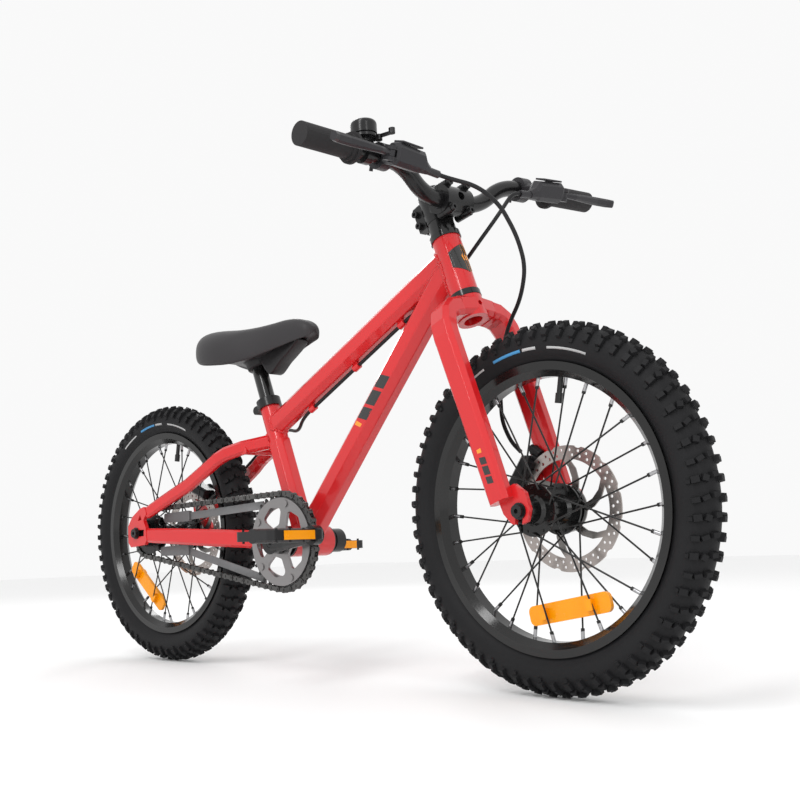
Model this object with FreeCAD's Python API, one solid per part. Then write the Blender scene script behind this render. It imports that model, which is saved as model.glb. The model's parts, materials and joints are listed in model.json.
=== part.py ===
import FreeCAD, Part
import math
import os

from FreeCAD import Vector

# Child's 16 inch single-speed mountain bike with hydraulic disc brakes.
# Millimetres. X points forward, Y to the rider's left, Z up. The origin is on the
# ground, half way between the axles. The handlebar is turned a little to the right.

# ---------------------------------------------------------------- driving dimensions
WHEELBASE = 714.0
TYRE_R = 202.5
TYRE_HALF_W = 24.5
RIM_R = 159.0
RIM_INNER_R = 143.0
SPOKES_PER_SIDE = 14
SPOKE_R = 1.0

HEAD_ANGLE = 71.0
FORK_RAKE = 14.0
STEER_TURN = -5.0
HEAD_TOP_Z = 529.0
HEAD_BOTTOM_Z = 459.0
HEAD_TUBE_R = 17.0
HEADSET_R = 18.5
CUP_H = 7.0
STEERER_R = 12.7

SEAT_ANGLE = 70.6
BB_Z = 180.0
SEAT_TUBE_R = 14.3
POST_R = 11.1
SLIDE_FIT = 0.05
RUN_FIT = 0.05

CHAIN_PITCH = 12.7
CHAIN_LINKS = 76
RING_TEETH = 32
COG_TEETH = 18
CHAIN_LINE = 43.0
ROLLER_R = 3.85
PLATE_R = 4.1

CRANK_LENGTH = 89.0
CRANK_Y = 68.0
PEDAL_W = 88.0
PEDAL_L = 70.0
PEDAL_T = 18.0
CRANK_TURN = -4.0

FRONT_OLD = 86.0
REAR_OLD = 120.0
ROTOR_R = 70.0
ROTOR_T = 1.8
BAR_HALF = 233.0
BAR_R = 9.5
GRIP_R = 12.6
HOSE_R = 2.4

ORIGIN = Vector(0, 0, 0)
Y1 = Vector(0, 1, 0)
Z1 = Vector(0, 0, 1)

FRONT = Vector(WHEELBASE / 2, 0, TYRE_R)
REAR = Vector(-WHEELBASE / 2, 0, TYRE_R)


# ---------------------------------------------------------------- small geometry tools
def cyl(p, d, length, r):
    return Part.makeCylinder(r, length, p, d)


def tube(p, d, length, r_out, r_in):
    return cyl(p, d, length, r_out).cut(cyl(p - d * 1, d, length + 2, r_in))


def box(x0, x1, y0, y1, z0, z1):
    return Part.makeBox(x1 - x0, y1 - y0, z1 - z0, Vector(x0, y0, z0))


def fuse(shapes):
    body = shapes[0]
    if len(shapes) > 1:
        body = body.multiFuse(shapes[1:])
    return body.removeSplitter()


def mirrored(shape):
    return shape.mirror(ORIGIN, Y1)


def turned(shape, centre, axis, angle):
    out = shape.copy()
    out.rotate(centre, axis, angle)
    return out


def moved(shape, offset):
    out = shape.copy()
    out.translate(offset)
    return out


def polygon(points):
    return Part.makePolygon(list(points) + [points[0]])


def plate(points, thickness_vector):
    return Part.Face(polygon(points)).extrude(thickness_vector)


def rounded_wire(points, radius):
    """A closed outline with each corner rounded by an arc of the given radius."""
    edges = []
    ends = []
    n = len(points)
    for i in range(n):
        a, b, c = points[i - 1], points[i], points[(i + 1) % n]
        u = (a - b).normalize()
        v = (c - b).normalize()
        half = u.getAngle(v) / 2
        d = radius / math.tan(half)
        mid = b + (u + v).normalize() * (radius / math.sin(half) - radius)
        ends.append((b + u * d, mid, b + v * d))
    for i in range(n):
        start, mid, end = ends[i]
        edges.append(Part.Arc(start, mid, end).toShape())
        following = ends[(i + 1) % n][0]
        edges.append(Part.LineSegment(end, following).toShape())
    return Part.Wire(edges)


def octagon(centre, side, up, width, height, chamfer, radius):
    """A faceted tube section: a rectangle with chamfered, slightly rounded corners."""
    w, h, c = width / 2, height / 2, chamfer
    flat = [(w, h - c), (w - c, h), (c - w, h), (-w, h - c)]
    flat += [(-w, c - h), (c - w, -h), (w - c, -h), (w, c - h)]
    return rounded_wire([centre + side * a + up * b for a, b in flat], radius)


def lofted(wires):
    """A solid through section wires, one ruled length after another."""
    lengths = [Part.makeLoft([a, b], True, True) for a, b in zip(wires, wires[1:])]
    return fuse(lengths)


def beam(stations, up_hint, chamfer=6.0, radius=2.0):
    """A faceted beam through stations (centre, width, height), with ruled faces."""
    wires = []
    for i, (centre, width, height) in enumerate(stations):
        before = stations[max(i - 1, 0)][0]
        after = stations[min(i + 1, len(stations) - 1)][0]
        along = (after - before).normalize()
        side = along.cross(up_hint).normalize()
        up = side.cross(along).normalize()
        cut = min(chamfer, width * 0.3, height * 0.3)
        wires.append(octagon(centre, side, up, width, height, cut, radius))
    return lofted(wires)


def hose(points, r, name):
    """A round hose of straight runs joined by tangent arcs as large as the runs allow."""
    edges = []
    last = points[0]
    length = 0.0
    radii = []
    for a, b, c in zip(points, points[1:], points[2:]):
        u = (a - b)
        v = (c - b)
        run = min(u.Length, v.Length)
        u.normalize()
        v.normalize()
        half = u.getAngle(v) / 2
        bend = 0.45 * run * math.tan(half)
        d = 0.45 * run
        mid = b + (u + v).normalize() * (bend / math.sin(half) - bend)
        edges.append(Part.LineSegment(last, b + u * d).toShape())
        edges.append(Part.Arc(b + u * d, mid, b + v * d).toShape())
        last = b + v * d
        radii.append(bend)
    edges.append(Part.LineSegment(last, points[-1]).toShape())
    path = Part.Wire(edges)
    length = path.Length
    profile = Part.Wire(Part.makeCircle(r, points[0], points[1] - points[0]))
    solid = path.makePipeShell([profile], True, False)
    ratio = solid.Volume / (math.pi * r * r * length)
    print("%s length %.0f tightest %.0f volume ratio %.3f" % (name, length, min(radii), ratio))
    return solid


def revolve(points, centre):
    """A ring about the Y axis through centre, from an outline of (y, radius) points."""
    outline = [centre + Vector(0, y, r) for y, r in points]
    return Part.Face(polygon(outline)).revolve(centre, Y1, 360)


def export(shape, name):
    solids = shape.Solids
    out = Part.makeCompound(solids) if len(solids) > 1 else solids[0]
    if not out.isValid():
        print("INVALID", name)
    out.exportStep("parts/%s.step" % name)
    print("%-28s solids %2d volume %9.0f" % (name, len(solids), out.Volume))


# ---------------------------------------------------------------- steering axis
HEAD = math.radians(HEAD_ANGLE)
STEER_UP = Vector(-math.cos(HEAD), 0, math.sin(HEAD))
STEER_FWD = Vector(math.sin(HEAD), 0, math.cos(HEAD))
STEER_FOOT = Vector(FRONT.x - FORK_RAKE / math.sin(HEAD), 0, TYRE_R)


def steer_point(z):
    """The point of the steering axis at height z."""
    return STEER_FOOT + STEER_UP * ((z - TYRE_R) / STEER_UP.z)


def steered(shape):
    return turned(shape, STEER_FOOT, STEER_UP, STEER_TURN)


# ---------------------------------------------------------------- chain geometry
RING_R = CHAIN_PITCH / (2 * math.sin(math.pi / RING_TEETH))
COG_R = CHAIN_PITCH / (2 * math.sin(math.pi / COG_TEETH))


def chain_length(centres):
    lean = math.asin((RING_R - COG_R) / centres)
    run = math.sqrt(centres**2 - (RING_R - COG_R) ** 2)
    ring = (math.pi + 2 * lean) * RING_TEETH / (2 * math.pi)
    cog = (math.pi - 2 * lean) * COG_TEETH / (2 * math.pi)
    return 2 * run + (ring + cog) * CHAIN_PITCH


def centre_distance():
    """The distance between crank and rear axle that the chain just fits."""
    low, high = 250.0, 400.0
    for _ in range(60):
        middle = (low + high) / 2
        if chain_length(middle) < CHAIN_LINKS * CHAIN_PITCH:
            low = middle
        else:
            high = middle
    return low


CENTRES = centre_distance()
BB = Vector(REAR.x + math.sqrt(CENTRES**2 - (TYRE_R - BB_Z) ** 2), 0, BB_Z)
SEAT = math.radians(SEAT_ANGLE)
SEAT_UP = Vector(-math.cos(SEAT), 0, math.sin(SEAT))


def chain_pins():
    """Chain pin centres, clockwise seen from the right, from the ring's top tangent point."""
    lean = math.asin((RING_R - COG_R) / CENTRES)
    slope = math.atan2(BB.z - REAR.z, BB.x - REAR.x)
    run = math.sqrt(CENTRES**2 - (RING_R - COG_R) ** 2)
    top = slope + math.pi / 2 + lean
    bottom = slope - math.pi / 2 - lean
    ring_arc = (math.pi + 2 * lean) * RING_TEETH / (2 * math.pi) * CHAIN_PITCH
    cog_arc = (math.pi - 2 * lean) * COG_TEETH / (2 * math.pi) * CHAIN_PITCH
    pins = []
    ring_phase = top
    cog_phase = None
    for i in range(CHAIN_LINKS):
        s = i * CHAIN_PITCH
        if s <= ring_arc:
            a = top - s / CHAIN_PITCH * 2 * math.pi / RING_TEETH
            pins.append(BB + Vector(math.cos(a), 0, math.sin(a)) * RING_R)
            continue
        s -= ring_arc
        if s <= run:
            start = BB + Vector(math.cos(bottom), 0, math.sin(bottom)) * RING_R
            end = REAR + Vector(math.cos(bottom), 0, math.sin(bottom)) * COG_R
            pins.append(start + (end - start) * (s / run))
            continue
        s -= run
        if s <= cog_arc:
            a = bottom - s / CHAIN_PITCH * 2 * math.pi / COG_TEETH
            if cog_phase is None:
                cog_phase = a
            pins.append(REAR + Vector(math.cos(a), 0, math.sin(a)) * COG_R)
            continue
        s -= cog_arc
        start = REAR + Vector(math.cos(top), 0, math.sin(top)) * COG_R
        end = BB + Vector(math.cos(top), 0, math.sin(top)) * RING_R
        pins.append(start + (end - start) * (s / run))
    return pins, ring_phase, cog_phase


def link(inner):
    """One chain link along +X from the origin, centred on Y = 0."""
    y0, y1 = (1.65, 2.6) if inner else (2.75, 3.7)
    sides = []
    for s in (-1, 1):
        y = y0 if s > 0 else -y1
        eye = [cyl(Vector(x, y, 0), Y1, y1 - y0, PLATE_R) for x in (0, CHAIN_PITCH)]
        waist = box(0, CHAIN_PITCH, y, y + y1 - y0, -2.9, 2.9)
        sides += eye + [waist]
    for x in (0, CHAIN_PITCH):
        if inner:
            sides.append(cyl(Vector(x, -y0, 0), Y1, 2 * y0, ROLLER_R))
        else:
            sides.append(cyl(Vector(x, -4.4, 0), Y1, 8.8, 1.75))
    body = fuse(sides)
    if inner:
        for x in (0, CHAIN_PITCH):
            body = body.cut(cyl(Vector(x, -5, 0), Y1, 10, 1.9))
    return body


def chain():
    pins = chain_pins()[0]
    links = []
    shapes = {True: link(True), False: link(False)}
    for i, p in enumerate(pins):
        q = pins[(i + 1) % len(pins)]
        angle = math.degrees(math.atan2(q.z - p.z, q.x - p.x))
        piece = turned(shapes[i % 2 == 0], ORIGIN, Y1, -angle)
        links.append(moved(piece, p + Vector(0, -CHAIN_LINE, 0)))
    return Part.makeCompound(links)


def toothed(centre, teeth, pitch_r, phase, thickness):
    """A sprocket disc whose gaps sit on the chain rollers."""
    disc = cyl(centre - Y1 * (thickness / 2), Y1, thickness, pitch_r + 2.4)
    gaps = []
    for k in range(teeth):
        a = phase + 2 * math.pi * k / teeth
        out = Vector(math.cos(a), 0, math.sin(a))
        gaps.append(cyl(centre + out * (pitch_r + 0.15) - Y1 * 5, Y1, 10, ROLLER_R + 0.15))
        gaps.append(cyl(centre + out * (pitch_r + 2.8) - Y1 * 5, Y1, 10, ROLLER_R + 1.25))
    return disc.cut(Part.makeCompound(gaps))


# ---------------------------------------------------------------- frame
def head_tube():
    bottom = steer_point(HEAD_BOTTOM_Z)
    length = (HEAD_TOP_Z - HEAD_BOTTOM_Z) / STEER_UP.z
    return tube(bottom, STEER_UP, length, HEAD_TUBE_R, HEAD_TUBE_R - 2.2)


def headset_cups():
    """The two pressed cups with their cartridge bearings."""
    pieces = []
    for start, way in ((steer_point(HEAD_BOTTOM_Z), -1), (steer_point(HEAD_TOP_Z), 1)):
        d = STEER_UP * way
        cup = tube(start, d, CUP_H, HEADSET_R, STEERER_R + RUN_FIT)
        skirt = tube(start - d * 8, d, 8, HEAD_TUBE_R - 2.2, STEERER_R + 0.8)
        pieces.append(fuse([cup, skirt]))
    return Part.makeCompound(pieces)


TT_REAR = Vector(-94, 0, 342)
TT_FRONT = Vector(237, 0, 507.5)
DT_REAR = BB + Vector(3, 0, 6)
DT_FRONT = Vector(241, 0, 500)


def seat_tube():
    body = seat_tube_bar()
    body = body.cut(cyl(BB + SEAT_UP * 45, SEAT_UP, 200, POST_R + SLIDE_FIT))
    body = body.cut(cyl(BB - Y1 * 40, Y1, 80, 21))
    slot = box(-30, 0, -1, 1, -34, 2)
    slot.rotate(ORIGIN, Y1, -(90 - SEAT_ANGLE))
    return body.cut(moved(slot, BB + SEAT_UP * 212))


def seat_tube_bar(extra=0.0):
    """The outside of the seat tube: faceted below, round at the top."""
    wide = 28.5 + extra
    lower = beam([(BB + SEAT_UP * (15 - extra), wide, wide), (BB + SEAT_UP * 150, wide, wide)], Y1, 7, 3)
    return fuse([lower, cyl(BB + SEAT_UP * 140, SEAT_UP, 72, SEAT_TUBE_R)])


def top_tube():
    body = top_tube_bar(0)
    body = body.cut(seat_tube_bar())
    return body.cut(cyl(steer_point(400), STEER_UP, 200, HEAD_TUBE_R))


def top_tube_bar(extra):
    """The top tube before it is cut to its neighbours; extra lengthens it forward."""
    along = (TT_FRONT - TT_REAR).normalize()
    return beam([(TT_REAR, 27, 31), (TT_FRONT + along * extra, 27, 31)], Z1, 8, 3)


def down_tube():
    stations = [(DT_REAR, 34, 34), (DT_REAR + (DT_FRONT - DT_REAR) * 0.5, 32, 33), (DT_FRONT, 30, 35)]
    body = beam(stations, Z1, 9, 3)
    body = body.cut(cyl(BB - Y1 * 40, Y1, 80, 21))
    body = body.cut(cyl(steer_point(400), STEER_UP, 200, HEAD_TUBE_R))
    body = body.cut(top_tube_bar(60))
    body = body.cut(seat_tube_bar(0.5))
    return max(body.Solids, key=lambda s: s.Volume)


def bb_shell():
    return tube(BB - Y1 * 34, Y1, 68, 21, 17.5)


def bb_cups():
    """The two threaded cups with their sealed bearings, black."""
    pieces = []
    for way in (-1, 1):
        d = Y1 * way
        inside = tube(BB + d * 12, d, 22, 17.5, 8 + RUN_FIT)
        lip = tube(BB + d * 34, d, 2.5, 20.5, 8 + RUN_FIT)
        pieces.append(fuse([inside, lip]))
    return Part.makeCompound(pieces)


def stay_clear(shape):
    """Cuts a stay back from the seat tube and the bottom bracket shell."""
    shape = shape.cut(seat_tube_bar())
    return shape.cut(cyl(BB - Y1 * 40, Y1, 80, 21))


def seatstay():
    """Left seatstay: leaves the seat tube, bends down and runs to the dropout."""
    c = [(-96, 9, 322, 13, 20), (-112, 19, 319, 14, 20), (-132, 29, 316, 14, 20)]
    c += [(-160, 37.5, 309.5, 14, 20), (-176, 41, 303, 14, 20), (-190, 43, 295, 14, 20)]
    c += [(-240, 47.5, 270, 14, 20), (-296, 53.5, 249, 14, 19), (-333, 60, 233, 11, 18)]
    return stay_clear(beam([(Vector(x, y, z), w, h) for x, y, z, w, h in c], Z1, 4.5, 1.8))


def seatstay_bridge():
    return beam([(Vector(-126, -33, 311), 14, 10), (Vector(-126, 33, 311), 14, 10)], Z1, 3.0, 1.0)


def chainstay():
    """Left chainstay: a deep box section from the shell to the dropout."""
    c = [(-34, 24, 180, 15, 26), (-75, 27, 182.5, 13, 26), (-104, 29.5, 184.5, 12, 25)]
    c += [(-130, 36, 186.5, 12, 25)]
    c += [(-190, 43.5, 190, 13, 25), (-270, 52, 195, 13, 24), (-337, 60, 198.5, 12, 22)]
    body = beam([(Vector(x, y, z), w, h) for x, y, z, w, h in c], Z1, 4.0, 2.0)
    return body.cut(cyl(BB - Y1 * 40, Y1, 80, 21))


DROPOUT_IN = REAR_OLD / 2
DROPOUT_OUT = REAR_OLD / 2 + 6.0


def dropout():
    """Left rear dropout plate with its axle slot and a small triangular window."""
    outline = [(-378, 188), (-371, 181), (-333, 184), (-327, 190), (-329, 212), (-335, 222)]
    outline += [(-326, 232), (-331, 243), (-344, 240), (-366, 228), (-378, 214)]
    pts = [Vector(x - 1.5, DROPOUT_IN, z) for x, z in outline]
    body = Part.Face(rounded_wire(pts, 2.5)).extrude(Y1 * 6)
    for x in (0, 20):
        body = body.cut(cyl(REAR + Vector(x, DROPOUT_IN - 1, 0), Y1, 10, 5.0))
    body = body.cut(box(REAR.x, REAR.x + 20, DROPOUT_IN - 1, DROPOUT_OUT + 1, TYRE_R - 5, TYRE_R + 5))
    window = [Vector(-352, DROPOUT_IN - 1, 221), Vector(-341, DROPOUT_IN - 1, 223)]
    window.append(Vector(-345, DROPOUT_IN - 1, 231))
    return body.cut(Part.Face(rounded_wire(window, 1.0)).extrude(Y1 * 8))


GUIDES = [Vector(-14, 0, 362), Vector(72, 0, 405.5), Vector(153, 0, 446.5)]


def cable_guides():
    """Three welded stops under the top tube that hold the rear brake hose."""
    along = (TT_FRONT - TT_REAR).normalize()
    down = Vector(along.z, 0, -along.x)
    pieces = []
    for g in GUIDES:
        centre = TT_REAR + along * ((g - TT_REAR).dot(along)) + down * 20.5
        ring = tube(centre - along * 5, along, 10, 4.6, HOSE_R + 0.02)
        corners = ((-4, -2.8), (-4, -7), (4, -7), (4, -2.8))
        foot = plate([centre + along * a + down * b - Y1 * 2.5 for a, b in corners], Y1 * 5)
        piece = fuse([ring, foot]).cut(top_tube_bar(0))
        piece = piece.cut(cyl(centre - along * 6, along, 12, HOSE_R + 0.02))
        pieces.append(max(piece.Solids, key=lambda s: s.Volume))
    return Part.makeCompound(pieces)


def seat_clamp():
    """Collar and its pinch bolt at the top of the seat tube."""
    base = BB + SEAT_UP * 202
    collar = tube(base, SEAT_UP, 13, 17.5, SEAT_TUBE_R)
    cap = tube(base + SEAT_UP * 10.2, SEAT_UP, 2.8, 17.5, POST_R + 0.4)
    back = Vector(-SEAT_UP.z, 0, SEAT_UP.x)
    ears = cyl(base + back * 21 + SEAT_UP * 6.5 - Y1 * 9, Y1, 18, 6.0)
    neck = plate([base + back * 14 + SEAT_UP * 1.5 - Y1 * 9, base + back * 21 + SEAT_UP * 0.5 - Y1 * 9,
                  base + back * 21 + SEAT_UP * 12.5 - Y1 * 9,
                  base + back * 14 + SEAT_UP * 11.5 - Y1 * 9], Y1 * 18)
    body = fuse([collar, cap, ears, neck]).cut(cyl(base - SEAT_UP, SEAT_UP, 11.2, SEAT_TUBE_R))
    body = body.cut(cyl(base, SEAT_UP, 20, POST_R + 0.4))
    gap = plate([base + back * 9 - SEAT_UP * 2 - Y1, base + back * 30 - SEAT_UP * 2 - Y1,
                 base + back * 30 + SEAT_UP * 20 - Y1, base + back * 9 + SEAT_UP * 20 - Y1], Y1 * 2)
    body = body.cut(gap)
    hole = cyl(base + back * 21 + SEAT_UP * 6.5 - Y1 * 20, Y1, 40, 2.6)
    body = body.cut(hole)
    start = base + back * 21 + SEAT_UP * 6.5
    bolt = fuse([cyl(start - Y1 * 9, Y1, 22, 2.5), cyl(start + Y1 * 9, Y1, 4.5, 4.3)])
    bolt = bolt.cut(cyl(start + Y1 * 11, Y1, 4, 2.0))
    return Part.makeCompound([body, bolt])


def axle_set(centre, half):
    """Hollow-ended axle, and a button-head bolt with washer at each end."""
    axle = cyl(centre - Y1 * half, Y1, 2 * half, 4.95)
    pieces = [axle]
    for way in (-1, 1):
        d = Y1 * way
        head = fuse([cyl(centre + d * half, d, 1.5, 9.0), cyl(centre + d * (half + 1.5), d, 4.0, 7.0)])
        pieces.append(head.cut(cyl(centre + d * (half + 2.5), d, 5, 2.6)))
    return pieces


def rear_axle():
    pieces = axle_set(REAR, DROPOUT_OUT)
    for way in (-1, 1):
        pieces.append(tube(REAR + Y1 * (way * 53.5), Y1 * way, 6.5, 8.5, 4.95))
    return Part.makeCompound(pieces)


def caliper(pivot, along, side_in):
    """A two-bolt post mount caliper. along runs between the bolts, the rotor plane is at pivot.y."""
    out = Vector(along.z, 0, -along.x)
    body = beam([(pivot - along * 19, 27, 17), (pivot + along * 19, 27, 17)], out, 4, 1.5)
    cheek = cyl(pivot + Y1 * side_in * 12, Y1 * side_in, 8, 12)
    slot = plate([pivot - along * 30 - out * 30 - Y1 * 1.6, pivot + along * 30 - out * 30 - Y1 * 1.6,
                  pivot + along * 30 + out * 2 - Y1 * 1.6,
                  pivot - along * 30 + out * 2 - Y1 * 1.6], Y1 * 3.2)
    body = fuse([body, cheek])
    for s in (-1, 1):
        ear = cyl(pivot + along * (26 * s) + out * 3 + Y1 * side_in * 8 - out * 6, out, 12, 6.5)
        near = pivot + along * (12 * s) + Y1 * side_in * 6
        far = pivot + along * (25 * s) + Y1 * side_in * 8
        arm = beam([(near, 12, 10), (far, 11, 10)], out, 2, 1)
        body = fuse([body, ear, arm])
    body = body.cut(slot)
    bolts = []
    for s in (-1, 1):
        foot = pivot + along * (26 * s) + Y1 * side_in * 8
        body = body.cut(cyl(foot - out * 20, out, 40, 3.1))
        head = cyl(foot + out * 9, out, 5, 4.8).cut(cyl(foot + out * 11, out, 4, 2.3))
        bolts.append(fuse([cyl(foot - out * 8, out, 17, 3.0), head]))
    return Part.makeCompound(body.Solids + bolts)


# ---------------------------------------------------------------- wheels
HUB_FRONT = {"end": 42.5, "right": -24.0, "left": 19.0, "rotor": 32.7, "boss": 42.5}
HUB_REAR = {"end": 53.0, "right": -27.0, "left": 30.0, "rotor": 44.7, "boss": 50.0}
FLANGE_R = 28.5
FLANGE_HALF = 1.2
SPOKE_OUT = 3.9
SPOKE_HOLE_R = 24.5
FREEWHEEL_R = 15.0


def hub(centre, h):
    """Hub shell with drilled flanges and a disc boss, and two cartridge bearings."""
    face = h["rotor"] - ROTOR_T / 2
    inner_end = -h["end"]
    outline = [(inner_end, 11), (inner_end, 13.2)]
    if h is HUB_REAR:
        outline += [(-h["boss"] - 0.5, 13.2), (-h["boss"] - 0.5, FREEWHEEL_R), (-36, FREEWHEEL_R), (-36, 17)]
    for y in (h["right"], h["left"]):
        outline += [(y - 5, 14), (y - FLANGE_HALF, 17), (y - FLANGE_HALF, FLANGE_R)]
        outline += [(y + FLANGE_HALF, FLANGE_R), (y + FLANGE_HALF, 17), (y + 5, 14)]
    outline += [(face - 6, 16), (face - 4, 26), (face, 26), (face, 15), (h["end"], 13), (h["end"], 11)]
    tip = h["end"] - 9
    shell = revolve(outline + [(tip, 11), (tip, 7), (-tip, 7), (-tip, 11)], centre)
    holes = []
    for k in range(2 * SPOKES_PER_SIDE):
        y = h["right"] if k % 2 else h["left"]
        holes.append(cyl(centre + flange_point(k) + Y1 * (y - 4), Y1, 8, SPOKE_R + 0.3))
    for k in range(6):
        a = math.radians(60 * k)
        spot = centre + Vector(22 * math.cos(a), face - 3.9, 22 * math.sin(a))
        holes.append(cyl(spot, Y1, 6, 2.5))
    shell = shell.cut(Part.makeCompound(holes))
    pieces = shell.Solids
    for way in (-1, 1):
        start = centre + Y1 * (way * (h["end"] - 8.5))
        pieces.append(tube(start, Y1 * way, 8, 11, 4.95 + RUN_FIT))
    return Part.makeCompound(pieces)


def spoke_angle(k):
    return 2 * math.pi * k / (2 * SPOKES_PER_SIDE)


def flange_point(k):
    way = 1 if (k // 2) % 2 else -1
    a = spoke_angle(k) + way * math.radians(52)
    return Vector(math.cos(a), 0, math.sin(a)) * SPOKE_HOLE_R


def spokes(centre, h):
    """Bent spokes with their heads and nipples, crossing in pairs on each side."""
    pieces = []
    for k in range(2 * SPOKES_PER_SIDE):
        y = h["right"] if k % 2 else h["left"]
        side = 1 if (k // 2) % 2 else -1
        head = centre + flange_point(k) + Y1 * (y + side * SPOKE_OUT)
        a = spoke_angle(k)
        toe = centre + Vector(math.cos(a), 0, math.sin(a)) * (RIM_INNER_R + 2)
        toe += Y1 * (-3.0 if k % 2 else 3.0)
        along = (toe - head).normalize()
        through = SPOKE_OUT + FLANGE_HALF
        elbow = cyl(head, Y1 * -side, through + 0.2, SPOKE_R)
        cap = cyl(head + Y1 * (-side * through), Y1 * -side, 0.9, SPOKE_R + 0.7)
        knee = Part.makeSphere(SPOKE_R, head)
        rod = cyl(head, along, (toe - head).Length, SPOKE_R)
        nipple = cyl(toe - along * 14, along, 16, 2.1)
        one = fuse([elbow, cap, knee, rod, nipple])
        pieces.append(one)
    whole = [p.common(cyl(centre - Y1 * 60, Y1, 120, RIM_INNER_R)) for p in pieces]
    return Part.makeCompound(whole)


def rim(centre):
    """Double-wall rim with its valve."""
    r = RIM_R
    outline = [(-15, r), (-12.6, r), (-12.6, r - 5), (12.6, r - 5), (12.6, r), (15, r)]
    outline += [(15, r - 9), (7.5, RIM_INNER_R), (-7.5, RIM_INNER_R), (-15, r - 9)]
    ring = revolve(outline, centre)
    a = math.radians(VALVE_ANGLE)
    inward = Vector(-math.cos(a), 0, -math.sin(a))
    foot = centre - inward * (RIM_R - 3)
    ring = ring.cut(cyl(foot - inward * 2, inward, 30, 4.0))
    cap = cyl(foot + inward * 30, inward, 11, 4.0)
    valve = fuse([cyl(foot, inward, 30, 3.0), cap, cyl(foot, inward, 10, 4.0)])
    return Part.makeCompound(ring.Solids + [valve])


VALVE_ANGLE = 79.0


def tyre(centre):
    """Hollow tyre: bead, side wall and a crowned tread."""
    w, r = TYRE_HALF_W, TYRE_R
    outer = [(12.5, 154), (12.5, 159.3), (15.4, 161), (20.5, 167), (23.8, 174), (w, 181), (24.0, 188)]
    outer += [(21.5, 194.5), (17.0, 198.8), (11.0, 201.5), (5.0, r)]
    inner = [(9.0, 154), (10.5, 160), (17.0, 168), (19.5, 180), (16.0, 190), (8.0, 195.5)]
    right = [(-y, q) for y, q in outer]
    right_in = [(-y, q) for y, q in inner]
    outline = outer + right[::-1] + right_in + inner[::-1]
    return revolve(outline, centre)


def rotor(centre, y):
    """Disc rotor: a slotted ring on six swept arms, held by six bolts."""
    c = centre + Y1 * (y - ROTOR_T / 2)
    ring = tube(c, Y1, ROTOR_T, ROTOR_R, 55.0)
    ring = ring.common(cyl(c - Y1, Y1, 9, ROTOR_R))
    slots = []
    for k in range(36):
        a = 2 * math.pi * k / 36
        for q, da in ((59.5, 0), (65.0, 0.06)):
            slots.append(cyl(c + Vector(math.cos(a + da), 0, math.sin(a + da)) * q - Y1, Y1, 6, 1.7))
    for k in range(12):
        a = 2 * math.pi * (k + 0.5) / 12
        slots.append(cyl(c + Vector(math.cos(a), 0, math.sin(a)) * (ROTOR_R + 5.5) - Y1, Y1, 6, 7.5))
    ring = ring.cut(Part.makeCompound(slots))
    parts_ = [ring, tube(c, Y1, ROTOR_T, 26.0, 17.0)]
    for k in range(6):
        a = math.radians(60 * k)
        spots = []
        for q, da in ((24, 0), (35, 8), (46, 18), (57, 30)):
            b = a + math.radians(da)
            spots.append((q, b))
        left = [c + Vector(math.cos(b - 4.6 / q), 0, math.sin(b - 4.6 / q)) * q for q, b in spots]
        right = [c + Vector(math.cos(b + 4.6 / q), 0, math.sin(b + 4.6 / q)) * q for q, b in spots]
        parts_.append(plate(left + right[::-1], Y1 * ROTOR_T))
    disc = fuse(parts_)
    pieces = []
    for k in range(6):
        a = math.radians(60 * k)
        spot = c + Vector(22 * math.cos(a), 0, 22 * math.sin(a))
        disc = disc.cut(cyl(spot - Y1, Y1, 5, 2.6))
        bolt = fuse([cyl(spot - Y1 * 3.8, Y1, 3.8 + ROTOR_T, 2.5), cyl(spot + Y1 * ROTOR_T, Y1, 2.2, 4.2)])
        pieces.append(bolt.cut(cyl(spot + Y1 * (ROTOR_T + 1), Y1, 3, 1.7)))
    return Part.makeCompound(disc.Solids + pieces)


def spoke_reflector(centre, angle):
    """Amber reflector clipped between the spokes."""
    slab = box(98, 120, -2.4, 2.4, -54, 54)
    corners = [e for e in slab.Edges if abs(e.Vertexes[0].Point.y - e.Vertexes[1].Point.y) > 4]
    slab = slab.makeFillet(7.0, corners)
    clips = [box(103, 115, -9, 9, z - 4, z + 4) for z in (-31, 31)]
    body = fuse([slab] + clips)
    body = moved(turned(body, ORIGIN, Y1, -angle), centre)
    return body


def reflector_free(body, spoke_set):
    cut = body.cut(spoke_set)
    return max(cut.Solids, key=lambda s: s.Volume)


# ---------------------------------------------------------------- drivetrain
def crank_frame(shape):
    """Turns a crank-set shape drawn with the right crank level and forward to its rest angle."""
    return moved(turned(shape, ORIGIN, Y1, CRANK_TURN), BB)


def crank_axle():
    pieces = [cyl(Vector(0, -60, 0), Y1, 114, 8.0)]
    for way, y in ((-1, -60), (1, 54)):
        head = cyl(Vector(0, y, 0), Y1 * way, 6, 7.5).cut(cyl(Vector(0, y + way * 2, 0), Y1 * way, 6, 4.0))
        pieces.append(head)
    return crank_frame(Part.makeCompound(pieces))


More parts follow.
